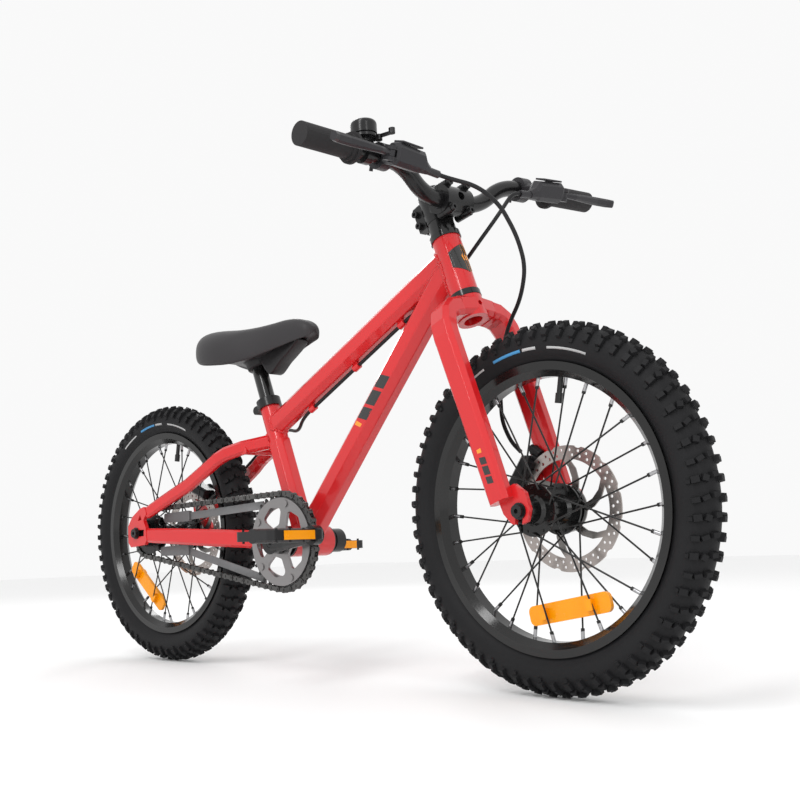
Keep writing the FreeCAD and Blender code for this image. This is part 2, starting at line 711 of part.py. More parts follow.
def crank_arm(way):
    """A crank arm; way is +1 for the arm drawn forward on the right side."""
    side = -1 if way > 0 else 1
    y_boss = 56.0 if way > 0 else 50.0
    x_end = CRANK_LENGTH * way
    stations = [(Vector(0, side * (y_boss + 4), 0), 15, 30)]
    stations.append((Vector(x_end * 0.3, side * (y_boss + 6), 0), 13, 26))
    stations.append((Vector(x_end * 0.75, side * (CRANK_Y - 1), 0), 11, 22))
    stations.append((Vector(x_end, side * CRANK_Y, 0), 11.5, 22))
    arm = beam(stations, Z1, 5, 2)
    boss = cyl(Vector(0, side * (y_boss - 7), 0), Y1 * side, 17, 16.5)
    eye = cyl(Vector(x_end, side * (CRANK_Y - 6), 0), Y1 * side, 12, 12.5)
    body = fuse([arm, boss, eye])
    body = body.cut(cyl(Vector(0, side * 30, 0), Y1 * side, 60, 8.0))
    body = body.cut(cyl(Vector(x_end, side * 50, 0), Y1 * side, 40, 6.5))
    return crank_frame(body)


def chainring():
    """Black toothed ring and the silver five-window carrier bolted to its outer face."""
    phase = chain_pins()[1] - math.radians(-CRANK_TURN)
    ring = toothed(Vector(0, -CHAIN_LINE, 0), RING_TEETH, RING_R, phase, 2.2)
    ring = ring.cut(cyl(Vector(0, -60, 0), Y1, 40, 46.0))
    disc = cyl(Vector(0, -48.2, 0), Y1, 4.1, 59.0).cut(cyl(Vector(0, -60, 0), Y1, 40, 8.0))
    for k in range(5):
        a = math.radians(72 * k + 36)
        window = []
        for q, da in ((23, -20), (23, 20), (45.5, 27.5), (49.5, 0), (45.5, -27.5)):
            b = a + math.radians(da)
            window.append(Vector(q * math.cos(b), -50, q * math.sin(b)))
        disc = disc.cut(Part.Face(rounded_wire(window, 6.0)).extrude(Y1 * 10))
    bolts = []
    for k in range(5):
        a = math.radians(72 * k)
        spot = Vector(52 * math.cos(a), -CHAIN_LINE - 1.1, 52 * math.sin(a))
        ring = ring.cut(cyl(spot - Y1 * 5, Y1, 10, 3.0))
        disc = disc.cut(cyl(spot - Y1 * 9, Y1, 10, 3.0))
        bolts.append(fuse([cyl(spot - Y1 * 4.1, Y1, 6.3, 3.0), cyl(spot - Y1 * 5.6, Y1, 1.5, 5.0)]))
    body = Part.makeCompound(ring.Solids + disc.Solids + bolts)
    return crank_frame(body)


def pedal_axles():
    """The two pedal spindles, each screwed into its crank arm."""
    pieces = []
    for side, x in ((-1, CRANK_LENGTH), (1, -CRANK_LENGTH)):
        foot = Vector(x, side * 62, 0)
        rod = cyl(foot, Y1 * side, 94, 4.9)
        thread = cyl(foot, Y1 * side, 13.5, 6.5)
        collar = cyl(Vector(x, side * 74.2, 0), Y1 * side, 5.0, 8.0)
        pieces.append(fuse([rod, thread, collar]))
    return crank_frame(Part.makeCompound(pieces))


def pedal(side):
    """Platform pedal with two windows, grip pins and a reflector front and rear."""
    y0 = 80.5
    y1 = y0 + PEDAL_W
    if side < 0:
        y0, y1 = -y1, -y0
    l, t = PEDAL_L / 2, PEDAL_T / 2
    outline = [Vector(-l, y0, -t + 3), Vector(l, y0, -t + 3), Vector(l, y1, -t + 3), Vector(-l, y1, -t + 3)]
    slab = Part.Face(rounded_wire(outline, 9.0)).extrude(Z1 * (PEDAL_T - 6))
    for way in (-1, 1):
        x0, x1 = sorted((way * 11.5, way * (l - 8)))
        for a, b in ((0.10, 0.47), (0.53, 0.90)):
            ya, yb = y0 + (y1 - y0) * a, y0 + (y1 - y0) * b
            hole = [Vector(x0, ya, -t), Vector(x1, ya, -t), Vector(x1, yb, -t), Vector(x0, yb, -t)]
            slab = slab.cut(Part.Face(rounded_wire(hole, 4.0)).extrude(Z1 * PEDAL_T))
    barrel = cyl(Vector(0, y0, 0), Y1, y1 - y0, t)
    pins = []
    for x in (-l + 4, l - 4):
        for k in range(4):
            y = y0 + (y1 - y0) * (0.13 + 0.247 * k)
            pins.append(cyl(Vector(x, y, -t + 0.5), Z1, PEDAL_T - 1, 1.6))
    body = fuse([slab, barrel] + pins)
    bore = cyl(Vector(0, side * 70, 0), Y1 * side, 86.5, 4.9 + RUN_FIT)
    body = body.cut(bore)
    reflectors = []
    ym = (y0 + y1) / 2
    for way in (-1, 1):
        x0, x1 = sorted((way * (l - 3), way * (l + 1.2)))
        seat = box(x0, x1, ym - 25, ym + 25, -5.5, 5.5)
        body = body.cut(seat)
        reflectors.append(seat)
    whole = Part.makeCompound([max(body.Solids, key=lambda s: s.Volume)] + reflectors)
    a = math.radians(-CRANK_TURN)
    x = CRANK_LENGTH if side < 0 else -CRANK_LENGTH
    return moved(whole, BB + Vector(x * math.cos(a), 0, x * math.sin(a)))


def rear_sprocket():
    phase = chain_pins()[2]
    cog = toothed(REAR - Y1 * CHAIN_LINE, COG_TEETH, COG_R, phase, 2.2)
    body = cyl(REAR - Y1 * 49.5, Y1, 10.5, 21.0)
    whole = fuse([cog, body]).cut(cyl(REAR - Y1 * 60, Y1, 40, FREEWHEEL_R + RUN_FIT))
    return whole


def chain_guard():
    """Inner chain guard: a curved arm behind the chainring with two long arms and end pads."""
    y0, y1 = -38.2, -35.7
    arc = []
    for k in range(13):
        a = math.radians(128 + 8 * k)
        arc.append(Vector(BB.x + 70 * math.cos(a), y0, BB.z + 70 * math.sin(a)))
    for k in range(13):
        a = math.radians(224 - 8 * k)
        arc.append(Vector(BB.x + 58 * math.cos(a), y0, BB.z + 58 * math.sin(a)))
    pieces = [plate(arc, Y1 * (y1 - y0))]
    upper = [(-80, 226), (-80, 237), (-256, 230), (-256, 219)]
    lower = [(-80, 124), (-80, 135), (-260, 178), (-260, 167)]
    for arm in (upper, lower):
        pieces.append(plate([Vector(x, y0, z) for x, z in arm], Y1 * (y1 - y0)))
    body = fuse(pieces)
    tab = box(-98, -92, y0, y1, 172, 192)
    body = fuse([body, tab])
    screws = []
    for z in (176, 190):
        body = body.cut(cyl(Vector(-96, -45, z), Y1, 10, 2.2))
        shank = cyl(Vector(-96, y0, z), Y1, y1 - y0, 2.2)
        screws.append(fuse([shank, cyl(Vector(-96, y0 - 1.6, z), Y1, 1.6, 4.0)]))
    pads = []
    for outline in ([(-250, 217), (-250, 233), (-316, 231), (-316, 217)],
                    [(-254, 166), (-254, 182), (-328, 180), (-328, 166)]):
        pts = [Vector(x, -40.8, z) for x, z in outline]
        pad = Part.Face(rounded_wire(pts, 4.0)).extrude(Y1 * 6.0)
        pads.append(pad.cut(body))
    return Part.makeCompound(body.Solids + screws + pads)


# ---------------------------------------------------------------- seat
def seatpost():
    post = cyl(BB + SEAT_UP * 108, SEAT_UP, 176, POST_R)
    post = post.cut(cyl(BB + SEAT_UP * 100, SEAT_UP, 150, POST_R - 2.0))
    return post


SADDLE = [(-226, 24, 487, 470, 462), (-214, 46, 493, 462, 450), (-190, 59, 493, 455, 442)]
SADDLE += [(-160, 62, 490, 452, 438), (-130, 55, 486, 452, 438), (-100, 41, 485, 455, 441)]
SADDLE += [(-72, 30, 486, 459, 446), (-48, 23, 487, 463, 450), (-26, 18, 483, 464, 453)]
SADDLE += [(-10, 13, 475, 463, 456), (-4, 8, 469, 463, 458)]
WING = [(-118, 446), (-122, 434), (-104, 431), (-92, 419), (-80, 420), (-58, 434)]
WING += [(-38, 449), (-40, 458), (-100, 458)]


def saddle():
    """Moulded saddle: a padded top, a socket round the post and a rib running to the nose."""
    wires = []
    for x, half, top, edge, bottom in SADDLE:
        flat = [(0, top), (half * 0.5, top - 0.5), (half * 0.88, top - (top - edge) * 0.45), (half, edge)]
        flat += [(half * 0.86, bottom + 2), (half * 0.45, bottom), (0, bottom)]
        ring = flat + [(-y, z) for y, z in reversed(flat[1:-1])]
        curve = Part.BSplineCurve()
        curve.interpolate([Vector(x, y, z) for y, z in ring], True)
        wires.append(Part.Wire(curve.toShape()))
    pad = Part.makeLoft(wires, True, False)
    boss = Part.makeCone(17, 24, 26, BB + SEAT_UP * 266, SEAT_UP)
    rib = plate([Vector(x, -11, z) for x, z in WING], Y1 * 22)
    body = pad.fuse([boss, rib])
    socket = cyl(BB + SEAT_UP * 200, SEAT_UP, 84, POST_R)
    return body.cut(socket)


# ---------------------------------------------------------------- fork and handlebar
def axis_point(u, forward=0.0, y=0.0):
    """A point given by distance up the steering axis, distance forward of it, and y."""
    return STEER_FOOT + STEER_UP * u + STEER_FWD * forward + Y1 * y


def up_distance(z):
    return (z - TYRE_R) / STEER_UP.z


U_CROWN_TOP = up_distance(HEAD_BOTTOM_Z) - CUP_H - 0.4
U_CROWN = U_CROWN_TOP - 13
U_LEG_END = 12.0
U_STEERER_TOP = up_distance(589)
STEM_BOTTOM_U = up_distance(552)


def fork_crown():
    """Crown with its crown race and the hollow steerer."""
    bar = beam([(axis_point(U_CROWN - 1, 0, -26), 30, 24), (axis_point(U_CROWN, 0, 0), 36, 25),
                (axis_point(U_CROWN - 1, 0, 26), 30, 24)], STEER_UP, 5, 2)
    hub_ = cyl(axis_point(U_CROWN - 14), STEER_UP, 27, 18.0)
    steerer = cyl(axis_point(U_CROWN - 10), STEER_UP, U_STEERER_TOP - U_CROWN + 10, STEERER_R)
    body = fuse([bar, hub_, steerer])
    body = body.cut(cyl(axis_point(U_CROWN - 20), STEER_UP, 250, STEERER_R - 1.6))
    return body.cut(cyl(axis_point(U_CROWN, -30), STEER_FWD, 60, 3.0))


LEG_Y = 53.0


def fork_leg(brake):
    """Left fork leg: shoulder from the crown, faceted blade, and dropout plate."""
    stations = [(axis_point(U_CROWN - 2, 0, 26), 30, 24), (axis_point(U_CROWN - 4, 0, 37), 30, 24)]
    stations += [(axis_point(U_CROWN - 11, 0, 47), 30, 22), (axis_point(U_CROWN - 24, 0, 52.5), 30, 21)]
    stations += [(axis_point(U_CROWN - 38, 0, LEG_Y + 1), 30, 20), (axis_point(100, 0, LEG_Y), 29, 19)]
    stations += [(axis_point(U_LEG_END, -1, LEG_Y - 1), 28, 18)]
    wires = []
    for i, (centre, width, height) in enumerate(stations):
        before = stations[max(i - 1, 0)][0]
        after = stations[min(i + 1, len(stations) - 1)][0]
        along = (after - before).normalize()
        wires.append(octagon(centre, STEER_FWD, along.cross(STEER_FWD), width, height, 5, 2))
    body = lofted(wires)
    body = body.cut(box(0, 600, -100, 0, 0, 700))
    inner, outer = FRONT_OLD / 2, FRONT_OLD / 2 + 5.0
    tab = [(336, 226), (352, 232), (366, 222), (371, 204), (367, 191)]
    tab += [(357, 187), (346, 189), (335, 200), (326, 222)]
    tab = Part.Face(rounded_wire([Vector(x, inner, z) for x, z in tab], 2.0)).extrude(Y1 * (outer - inner))
    body = fuse([body, tab])
    body = body.cut(cyl(FRONT + Y1 * 30, Y1, 60, 5.0))
    slot = [FRONT + Vector(x, 30, z) for x, z in ((-5, 0), (5, 0), (1, -30), (-9, -30))]
    body = body.cut(plate(slot, Y1 * 60))
    if brake:
        mount = [(312, 230), (278, 214), (276, 224), (296, 262), (312, 282)]
        lug = plate([Vector(x, 44, z) for x, z in mount], Y1 * 6)
        body = fuse([body, lug])
    return max(body.Solids, key=lambda s: s.Volume)


def front_axle():
    return Part.makeCompound(axle_set(FRONT, FRONT_OLD / 2 + 5.0))


def calliper_place(centre, y, angle):
    """Where a calliper sits on its rotor: its middle and the direction between its bolts."""
    a = math.radians(angle)
    middle = centre + Vector(72 * math.cos(a), y, 72 * math.sin(a))
    return middle, Vector(math.sin(a), 0, -math.cos(a))


def front_caliper():
    middle, along = calliper_place(FRONT, HUB_FRONT["rotor"], 142.7)
    return caliper(middle, along * -1, 1)


def rear_caliper():
    middle, along = calliper_place(REAR, HUB_REAR["rotor"], 66)
    return caliper(middle, along * -1, 1)


BAR = [(241.5, 0, 573), (241.5, 44, 573), (247.5, 84, 603), (257.4, BAR_HALF, 603.47)]


def bar_point(y):
    """A point on the bar's straight outer part."""
    a, b = Vector(*BAR[2]), Vector(*BAR[3])
    return a + (b - a) * ((abs(y) - a.y) / (b.y - a.y)) if y > 0 else mirror_point(bar_point(-y))


def mirror_point(p):
    return Vector(p.x, -p.y, p.z)


def bar_direction():
    return (Vector(*BAR[3]) - Vector(*BAR[2])).normalize()


def handlebar():
    right = [mirror_point(Vector(*p)) for p in reversed(BAR[1:])]
    left = [Vector(*p) for p in BAR[1:]]
    outer = hose(right + left, BAR_R, "handlebar")
    inner = hose(right + left, BAR_R - 2.0, "handlebar bore")
    sleeve = cyl(Vector(BAR[0][0], -24, BAR[0][2]), Y1, 48, BAR_R + 1.1)
    return fuse([outer, sleeve]).cut(inner)


def grip():
    d = bar_direction()
    start = bar_point(160)
    flange = cyl(start, d, 4, 17)
    collar = cyl(start, d, 9, GRIP_R + 2)
    sleeve = cyl(start, d, 76, GRIP_R)
    body = fuse([flange, collar, sleeve])
    return body.cut(cyl(start - d, d, (Vector(*BAR[3]) - start).Length + 1, BAR_R))


BAR_CENTRE = Vector(BAR[0][0], 0, BAR[0][2])


def stem_solids():
    """Stem body, faceplate and their bolts."""
    forward = (BAR_CENTRE - axis_point(up_distance(573) - 4)).normalize()
    lift = Vector(-forward.z, 0, forward.x)
    clamp = cyl(axis_point(STEM_BOTTOM_U), STEER_UP, up_distance(589) - STEM_BOTTOM_U - 0.5, 16.5)
    barrel = cyl(BAR_CENTRE - Y1 * 21, Y1, 42, 17.0)
    neck = beam([(axis_point(up_distance(571)), 30, 28), (BAR_CENTRE - forward * 2, 40, 26)], lift, 5, 2)
    ears = box(-25, -8, -11, 11, 0, 33)
    ears = moved(turned(ears, ORIGIN, Y1, -(90 - HEAD_ANGLE)), axis_point(STEM_BOTTOM_U + 1))
    body = fuse([clamp, barrel, neck, ears])
    body = body.cut(cyl(axis_point(STEM_BOTTOM_U - 30), STEER_UP, 120, STEERER_R))
    body = body.cut(cyl(axis_point(up_distance(589) - 0.2), STEER_UP, 20, 16.3))
    body = body.cut(cyl(BAR_CENTRE - Y1 * 40, Y1, 80, BAR_R + 1.1))
    gap = turned(box(-30, -5, -1, 1, -2, 50), ORIGIN, Y1, -(90 - HEAD_ANGLE))
    gap = moved(gap, axis_point(STEM_BOTTOM_U))
    body = body.cut(gap)

    def ahead_of(start):
        """A block that fills everything further forward than start from the bar's centre."""
        corners = ((start, -40), (60, -40), (60, 40), (start, 40))
        return plate([BAR_CENTRE + forward * a + lift * b - Y1 * 30 for a, b in corners], Y1 * 60)

    pads = []
    for y in (-14.5, 14.5):
        for s in (-1, 1):
            spot = BAR_CENTRE + lift * (s * 15.5) + Y1 * y
            pads.append(cyl(spot - forward * 8, forward, 21.2, 5.2))
    full = fuse([body] + [p.cut(cyl(BAR_CENTRE - Y1 * 40, Y1, 80, BAR_R + 1.1)) for p in pads])
    rear = full.cut(ahead_of(1.2))
    front = full.common(ahead_of(1.6))
    window = cyl(BAR_CENTRE + forward * 5, forward, 20, 5.0)
    front = front.cut(window)
    bolts = []
    for y in (-14.5, 14.5):
        for s in (-1, 1):
            spot = BAR_CENTRE + lift * (s * 15.5) + Y1 * y
            hole = cyl(spot - forward * 6, forward, 25, 2.5)
            rear = rear.cut(hole)
            front = front.cut(hole)
            head = cyl(spot + forward * 13.2, forward, 4, 4.2).cut(cyl(spot + forward * 15, forward, 3, 2.0))
            bolts.append(fuse([cyl(spot - forward * 6, forward, 19.2, 2.5), head]))
    for u in (9, 25):
        spot = axis_point(STEM_BOTTOM_U + u, -21, 0)
        hole = cyl(spot - Y1 * 11, Y1, 22, 2.5)
        rear = rear.cut(hole)
        head = cyl(spot - Y1 * 15.5, Y1, 4.5, 4.2).cut(cyl(spot - Y1 * 15.6, Y1, 2.6, 2.0))
        bolts.append(fuse([hole, head]))
    return rear, front, bolts


def headset_spacers():
    low = up_distance(HEAD_TOP_Z) + CUP_H + 0.4
    spacer = tube(axis_point(low), STEER_UP, STEM_BOTTOM_U - low, 16.0, STEERER_R)
    cap = cyl(axis_point(up_distance(589)), STEER_UP, 4.5, 16.0)
    stud = cyl(axis_point(up_distance(589) + 4.5), STEER_UP, 2.5, 4.2)
    stud = stud.cut(cyl(axis_point(up_distance(589) + 5.5), STEER_UP, 3, 2.2))
    return Part.makeCompound([spacer, fuse([cap, stud])])


# ---------------------------------------------------------------- brake levers and bell
LEVER_OUT = Vector(math.cos(math.radians(-20)), 0, math.sin(math.radians(-20)))
LEVER_UP = Vector(-LEVER_OUT.z, 0, LEVER_OUT.x)
CLAMP_Y = 116.0
PIVOT_Y = 143.0


def lever_point(out, y, up=0.0):
    """A point near the left lever: out from the bar centre line, along it, and up."""
    base = bar_point(CLAMP_Y) + bar_direction() * (y - CLAMP_Y)
    return base + LEVER_OUT * out + LEVER_UP * up


def lever_body():
    """Left brake lever body: bar clamp, master cylinder, hose nipple and pivot ears."""
    d = bar_direction()
    band = cyl(lever_point(0, CLAMP_Y - 7), d, 14, 14.5)
    arm = [(lever_point(10, CLAMP_Y), 16, 16), (lever_point(34, CLAMP_Y + 2), 26, 18)]
    arm = beam(arm, LEVER_UP, 4, 1.5)
    stations = [(lever_point(47, 84, -7), 10, 9), (lever_point(46, 92, -5), 15, 14)]
    stations += [(lever_point(44, 97, -1), 19, 23), (lever_point(42, 134, 1), 20, 24)]
    stations.append((lever_point(41, 139, 1), 17, 20))
    cylinder = beam(stations, LEVER_UP, 5, 2)
    ears = [cyl(lever_point(44, PIVOT_Y, u), LEVER_UP, 4.0, 6.5) for u in (3.6, -7.6)]
    roots = []
    for u in (5.6, -5.6):
        root = [(lever_point(43, PIVOT_Y - 12, u), 11, 4), (lever_point(44, PIVOT_Y, u), 11, 4)]
        roots.append(beam(root, LEVER_UP, 1, 0.3))
    pin = cyl(lever_point(44, PIVOT_Y, -7.6), LEVER_UP, 15.2, 2.0)
    inward = (lever_point(47, 85, -7) - lever_point(47.5, 68, -8)).normalize()
    nipple = cyl(lever_point(47.5, 68, -8), inward, 18, 4.2)
    body = fuse([band, arm, cylinder, nipple] + ears + roots + [pin])
    body = body.cut(cyl(lever_point(0, CLAMP_Y - 40), d, 80, BAR_R))
    room = cyl(lever_point(44, PIVOT_Y, -3.6), LEVER_UP, 7.2, 7.5)
    body = body.cut(room.cut(cyl(lever_point(44, PIVOT_Y, -9), LEVER_UP, 20, 2.0)))
    body = body.cut(cyl(lever_point(47.5, 68, -8) - inward, inward, 11, HOSE_R + 0.3))
    lid = [(lever_point(43, 101, 13.3), 15, 2), (lever_point(42, 131, 14.3), 15, 2)]
    lid = beam(lid, LEVER_UP, 0.5, 0.2)
    lid = lid.cut(body)
    shank = cyl(lever_point(-13.5, CLAMP_Y, -16), LEVER_UP, 20, 2.2)
    bolt = fuse([shank, cyl(lever_point(-13.5, CLAMP_Y, 4), LEVER_UP, 4, 4.0)])
    lug = cyl(lever_point(-13.5, CLAMP_Y, -7), LEVER_UP, 11, 5.5)
    body = fuse([body, lug]).cut(cyl(lever_point(0, CLAMP_Y - 40), d, 80, BAR_R))
    body = body.cut(cyl(lever_point(-13.5, CLAMP_Y, -20), LEVER_UP, 40, 2.2))
    main = max(body.Solids, key=lambda s: s.Volume)
    return Part.makeCompound([main, max(lid.Solids, key=lambda s: s.Volume), bolt.cut(main)])


def lever_blade():
    """Left brake blade, from its pivot out along the grip."""
    path = [(44, PIVOT_Y, 9, 6), (44, PIVOT_Y + 6, 10, 6), (47, PIVOT_Y + 18, 9, 7)]
    path += [(46, PIVOT_Y + 38, 8, 9), (44, PIVOT_Y + 60, 8, 10)]
    path += [(45, PIVOT_Y + 78, 8, 10), (49, PIVOT_Y + 86, 7, 9)]
    blade = beam([(lever_point(o, y), w, h) for o, y, w, h in path], LEVER_UP, 2.5, 1.0)
    boss = cyl(lever_point(44, PIVOT_Y, -3.2), LEVER_UP, 6.4, 5.6)
    body = fuse([blade, boss]).common(lever_room())
    return body.cut(cyl(lever_point(44, PIVOT_Y, -10), LEVER_UP, 20, 2.0 + RUN_FIT))


def lever_room():
    """Everything around the pivot that lies between the ears, and all that is further out."""
    near = cyl(lever_point(44, PIVOT_Y, -3.3), LEVER_UP, 6.6, 12.0)
    far = box(200, 400, PIVOT_Y + 9, 260, 500, 700)
    return near.fuse(far)


BELL_Y = -141.0
BELL_R = 14.5


def bell():
    """Dome bell on a band round the bar."""
    c = bar_point(BELL_Y)
    d = mirror_point(bar_direction())
    band = tube(c - d * 5, d, 10, 13.0, BAR_R)
    stalk = cyl(c + Z1 * 11.0, Z1, 5, 7.0).cut(cyl(c - d * 20, d, 40, BAR_R))
    base = cyl(c + Z1 * 15, Z1, 3.0, BELL_R - 1)
    dome = cyl(c + Z1 * 19, Z1, 15, BELL_R)
    top = [e for e in dome.Edges if abs(e.CenterOfMass.z - (c.z + 34)) < 0.1 and e.isClosed()]
    dome = dome.makeFillet(5.0, top)
    post = cyl(c + Z1 * 17, Z1, 4, 4.0)
    link_ = box(c.x - 2, c.x + 6, c.y + 8, c.y + 16.5, c.z + 15, c.z + 17.8)
    pin = cyl(c + Vector(4, 18.0, 15), Z1, 7, 1.5)
    foot = cyl(c + Vector(4, 18.0, 15), Z1, 2.8, 4.0)
    return fuse([band, stalk, base, dome, post, link_, foot, pin])


def bell_striker():
    """Thumb lever of the bell with its hammer."""
    c = bar_point(BELL_Y)
    pivot = c + Vector(4, 18.0, 18.1)
    eye = cyl(pivot, Z1, 3.0, 3.6)
    outline = [(0, -2), (15, 3), (15, 7), (0, 2.5)]
    arm = plate([pivot + Vector(x, y, 0) for x, y in outline], Z1 * 3)
    pad = cyl(pivot + Vector(16, 5, 0), Z1, 6, 3.6)
    return fuse([eye, arm, pad]).cut(cyl(pivot - Z1, Z1, 8, 1.5 + RUN_FIT))


# ---------------------------------------------------------------- hoses
def front_hose():
    """From the right lever in an arc ahead of the head tube to the front calliper."""
    nipple = mirror_point(lever_point(47.5, 68, -8))
    back = mirror_point(lever_point(47, 85, -7) - lever_point(47.5, 68, -8)).normalize()
    points = [nipple + back * 8, nipple - back * 12]
    points += [Vector(*p) for p in FRONT_HOSE]
    return hose(points, HOSE_R, "front hose")


FRONT_HOSE = [(306, -25, 568), (322, -8, 545), (330, 8, 510), (328, 22, 478), (312, 30, 446)]
FRONT_HOSE += [(286, 36, 420), (268, 40, 385), (263, 41, 345), (263, 41, 310), (276, 40, 285)]
FRONT_HOSE += [(291, 38, 272)]

REAR_HOSE_FRONT = [(280, 34, 552), (246, 30, 520), (208, 28, 485), (184, 20, 462)]
REAR_HOSE_BACK = [(-64, 18, 334), (-105, 33, 343), (-145, 39, 338), (-185, 46, 317)]
REAR_HOSE_BACK += [(-235, 51, 291), (-280, 53, 273), (-306, 52, 266)]


def rear_hose():
    """From the left lever past the head tube, under the top tube, to the rear calliper."""
    nipple = lever_point(47.5, 68, -8)
    back = (lever_point(47, 85, -7) - nipple).normalize()
    start = [nipple + back * 8, nipple - back * 12]
    turn = Part.Compound([Part.Vertex(p) for p in start])
    turn = steered(turn)
    points = [v.Point for v in turn.Vertexes]
    points += [Vector(*p) for p in REAR_HOSE_FRONT]
    along = (TT_FRONT - TT_REAR).normalize()
    down = Vector(along.z, 0, -along.x)
    for s in (288, 58):
        points.append(TT_REAR + along * s + down * 20.5)
    points += [Vector(*p) for p in REAR_HOSE_BACK]
    return hose(points, HOSE_R, "rear hose")


# ---------------------------------------------------------------- everything
def build():
    os.makedirs("parts", exist_ok=True)
    print("BB %.2f %.2f centres %.3f" % (BB.x, BB.z, CENTRES))
    solids = {}
    solids["head_tube"] = head_tube()
    solids["headset_cups"] = headset_cups()
    solids["top_tube"] = top_tube()
    solids["down_tube"] = down_tube()
    solids["seat_tube"] = seat_tube()
    solids["bottom_bracket_shell"] = bb_shell()
    solids["bottom_bracket_cups"] = bb_cups()
    solids["cable_guides"] = cable_guides()
    solids["seat_clamp"] = seat_clamp()
    left_drop = dropout()
    brake_post = [Vector(-367, 54, 228), Vector(-373, 54, 270), Vector(-352, 54, 276), Vector(-340, 54, 240)]
    left_drop_brake = fuse([left_drop, plate(brake_post, Y1 * 7)])
    right_drop = mirrored(left_drop)
    stay_l, stay_r = seatstay(), mirrored(seatstay())
    bridge = seatstay_bridge().cut(Part.makeCompound([stay_l, stay_r]))
    bridge = max(bridge.Solids, key=lambda s: s.Volume)
    solids["seatstay_right"] = stay_r.cut(right_drop)
    solids["seatstay_left"] = Part.makeCompound(stay_l.cut(left_drop_brake).Solids + [bridge])
    solids["chainstay_right"] = mirrored(chainstay()).cut(right_drop)
    solids["chainstay_left"] = chainstay().cut(left_drop_brake)
    solids["dropout_right"] = right_drop
    solids["dropout_left"] = left_drop_brake
    solids["rear_axle"] = rear_axle()
    fixed = [solids["seatstay_left"], solids["dropout_left"]]
    solids["rear_caliper"] = rear_caliper().cut(Part.makeCompound(fixed))
    solids["rear_brake_hose"] = rear_hose().cut(solids["rear_caliper"])
    solids["chain_guard"] = chain_guard()
    solids["chain"] = chain()
    for name, centre, h, angle in (("front", FRONT, HUB_FRONT, -79.4), ("rear", REAR, HUB_REAR, -129.0)):
        spoke_set = spokes(centre, h)
        solids[name + "_hub"] = hub(centre, h)
        solids[name + "_spokes"] = spoke_set
        solids[name + "_rim"] = rim(centre)
        solids[name + "_tyre"] = tyre(centre)
        solids[name + "_rotor"] = rotor(centre, h["rotor"])
        solids[name + "_spoke_reflector"] = reflector_free(spoke_reflector(centre, angle), spoke_set)
    solids["crank_axle"] = crank_axle()
    solids["crank_arm_right"] = crank_arm(1)
    solids["crank_arm_left"] = crank_arm(-1)
    solids["chainring"] = chainring()
    solids["pedal_axles"] = pedal_axles()
    solids["pedal_right"] = pedal(-1)
    solids["pedal_left"] = pedal(1)
    solids["rear_sprocket"] = rear_sprocket()
    solids["seatpost"] = seatpost()
    solids["saddle"] = saddle()
    crown = fork_crown()
    leg = fork_leg(True).cut(crown)
    plain_leg = mirrored(fork_leg(False)).cut(crown)
    stem, faceplate, bolts = stem_solids()
    front_cal = front_caliper().cut(leg)
    body = lever_body()
    blade = lever_blade()
    steering = {
        "fork_crown": crown,
        "fork_leg_left": max(leg.Solids, key=lambda s: s.Volume),
        "fork_leg_right": max(plain_leg.Solids, key=lambda s: s.Volume),
        "front_axle": front_axle(),
        "headset_spacers": headset_spacers(),
        "stem": stem,
        "stem_faceplate": faceplate,
        "stem_bolts": Part.makeCompound(bolts),
        "handlebar": handlebar(),
        "grips": Part.makeCompound([grip(), mirrored(grip())]),
        "brake_lever_body_left": body,
        "brake_lever_body_right": mirrored(body),
        "brake_blade_left": blade,
        "brake_blade_right": mirrored(blade),
        "front_caliper": front_cal,
        "front_brake_hose": front_hose().cut(front_cal),
        "bell": bell(),
        "bell_striker": bell_striker(),
    }
    for part in ("hub", "spokes", "rim", "tyre", "rotor", "spoke_reflector"):
        steering["front_" + part] = solids["front_" + part]
    for name, shape in steering.items():
        solids[name] = steered(shape)
    for name, shape in solids.items():
        export(shape, name)
    print(len(solids), "nodes")


def report_joints():
    """Prints where the moving pieces turn, for the joint list."""
    pivot = lever_point(44, PIVOT_Y)
    striker = bar_point(BELL_Y) + Vector(4, 18.0, 18.1)
    spots = [("front axle", FRONT, Y1), ("blade left", pivot, LEVER_UP)]
    spots += [("blade right", mirror_point(pivot), LEVER_UP), ("striker", striker, Z1)]
    for name, p, d in spots:
        a = turned(Part.Vertex(p), STEER_FOOT, STEER_UP, STEER_TURN).Point
        b = turned(Part.Vertex(p + d), STEER_FOOT, STEER_UP, STEER_TURN).Point - a
        print("%-12s pos %.3f %.3f %.3f axis %.6f %.6f %.6f" % (name, a.x, a.y, a.z, b.x, b.y, b.z))
    print("steer foot", STEER_FOOT, "up", STEER_UP, "seat up", SEAT_UP)
    print("crank", BB, "ratio", RING_TEETH / COG_TEETH)


build()
report_joints()
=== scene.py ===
import json
import math
import random

import bmesh
import bpy
from mathutils import Matrix, Vector
from mathutils.bvhtree import BVHTree

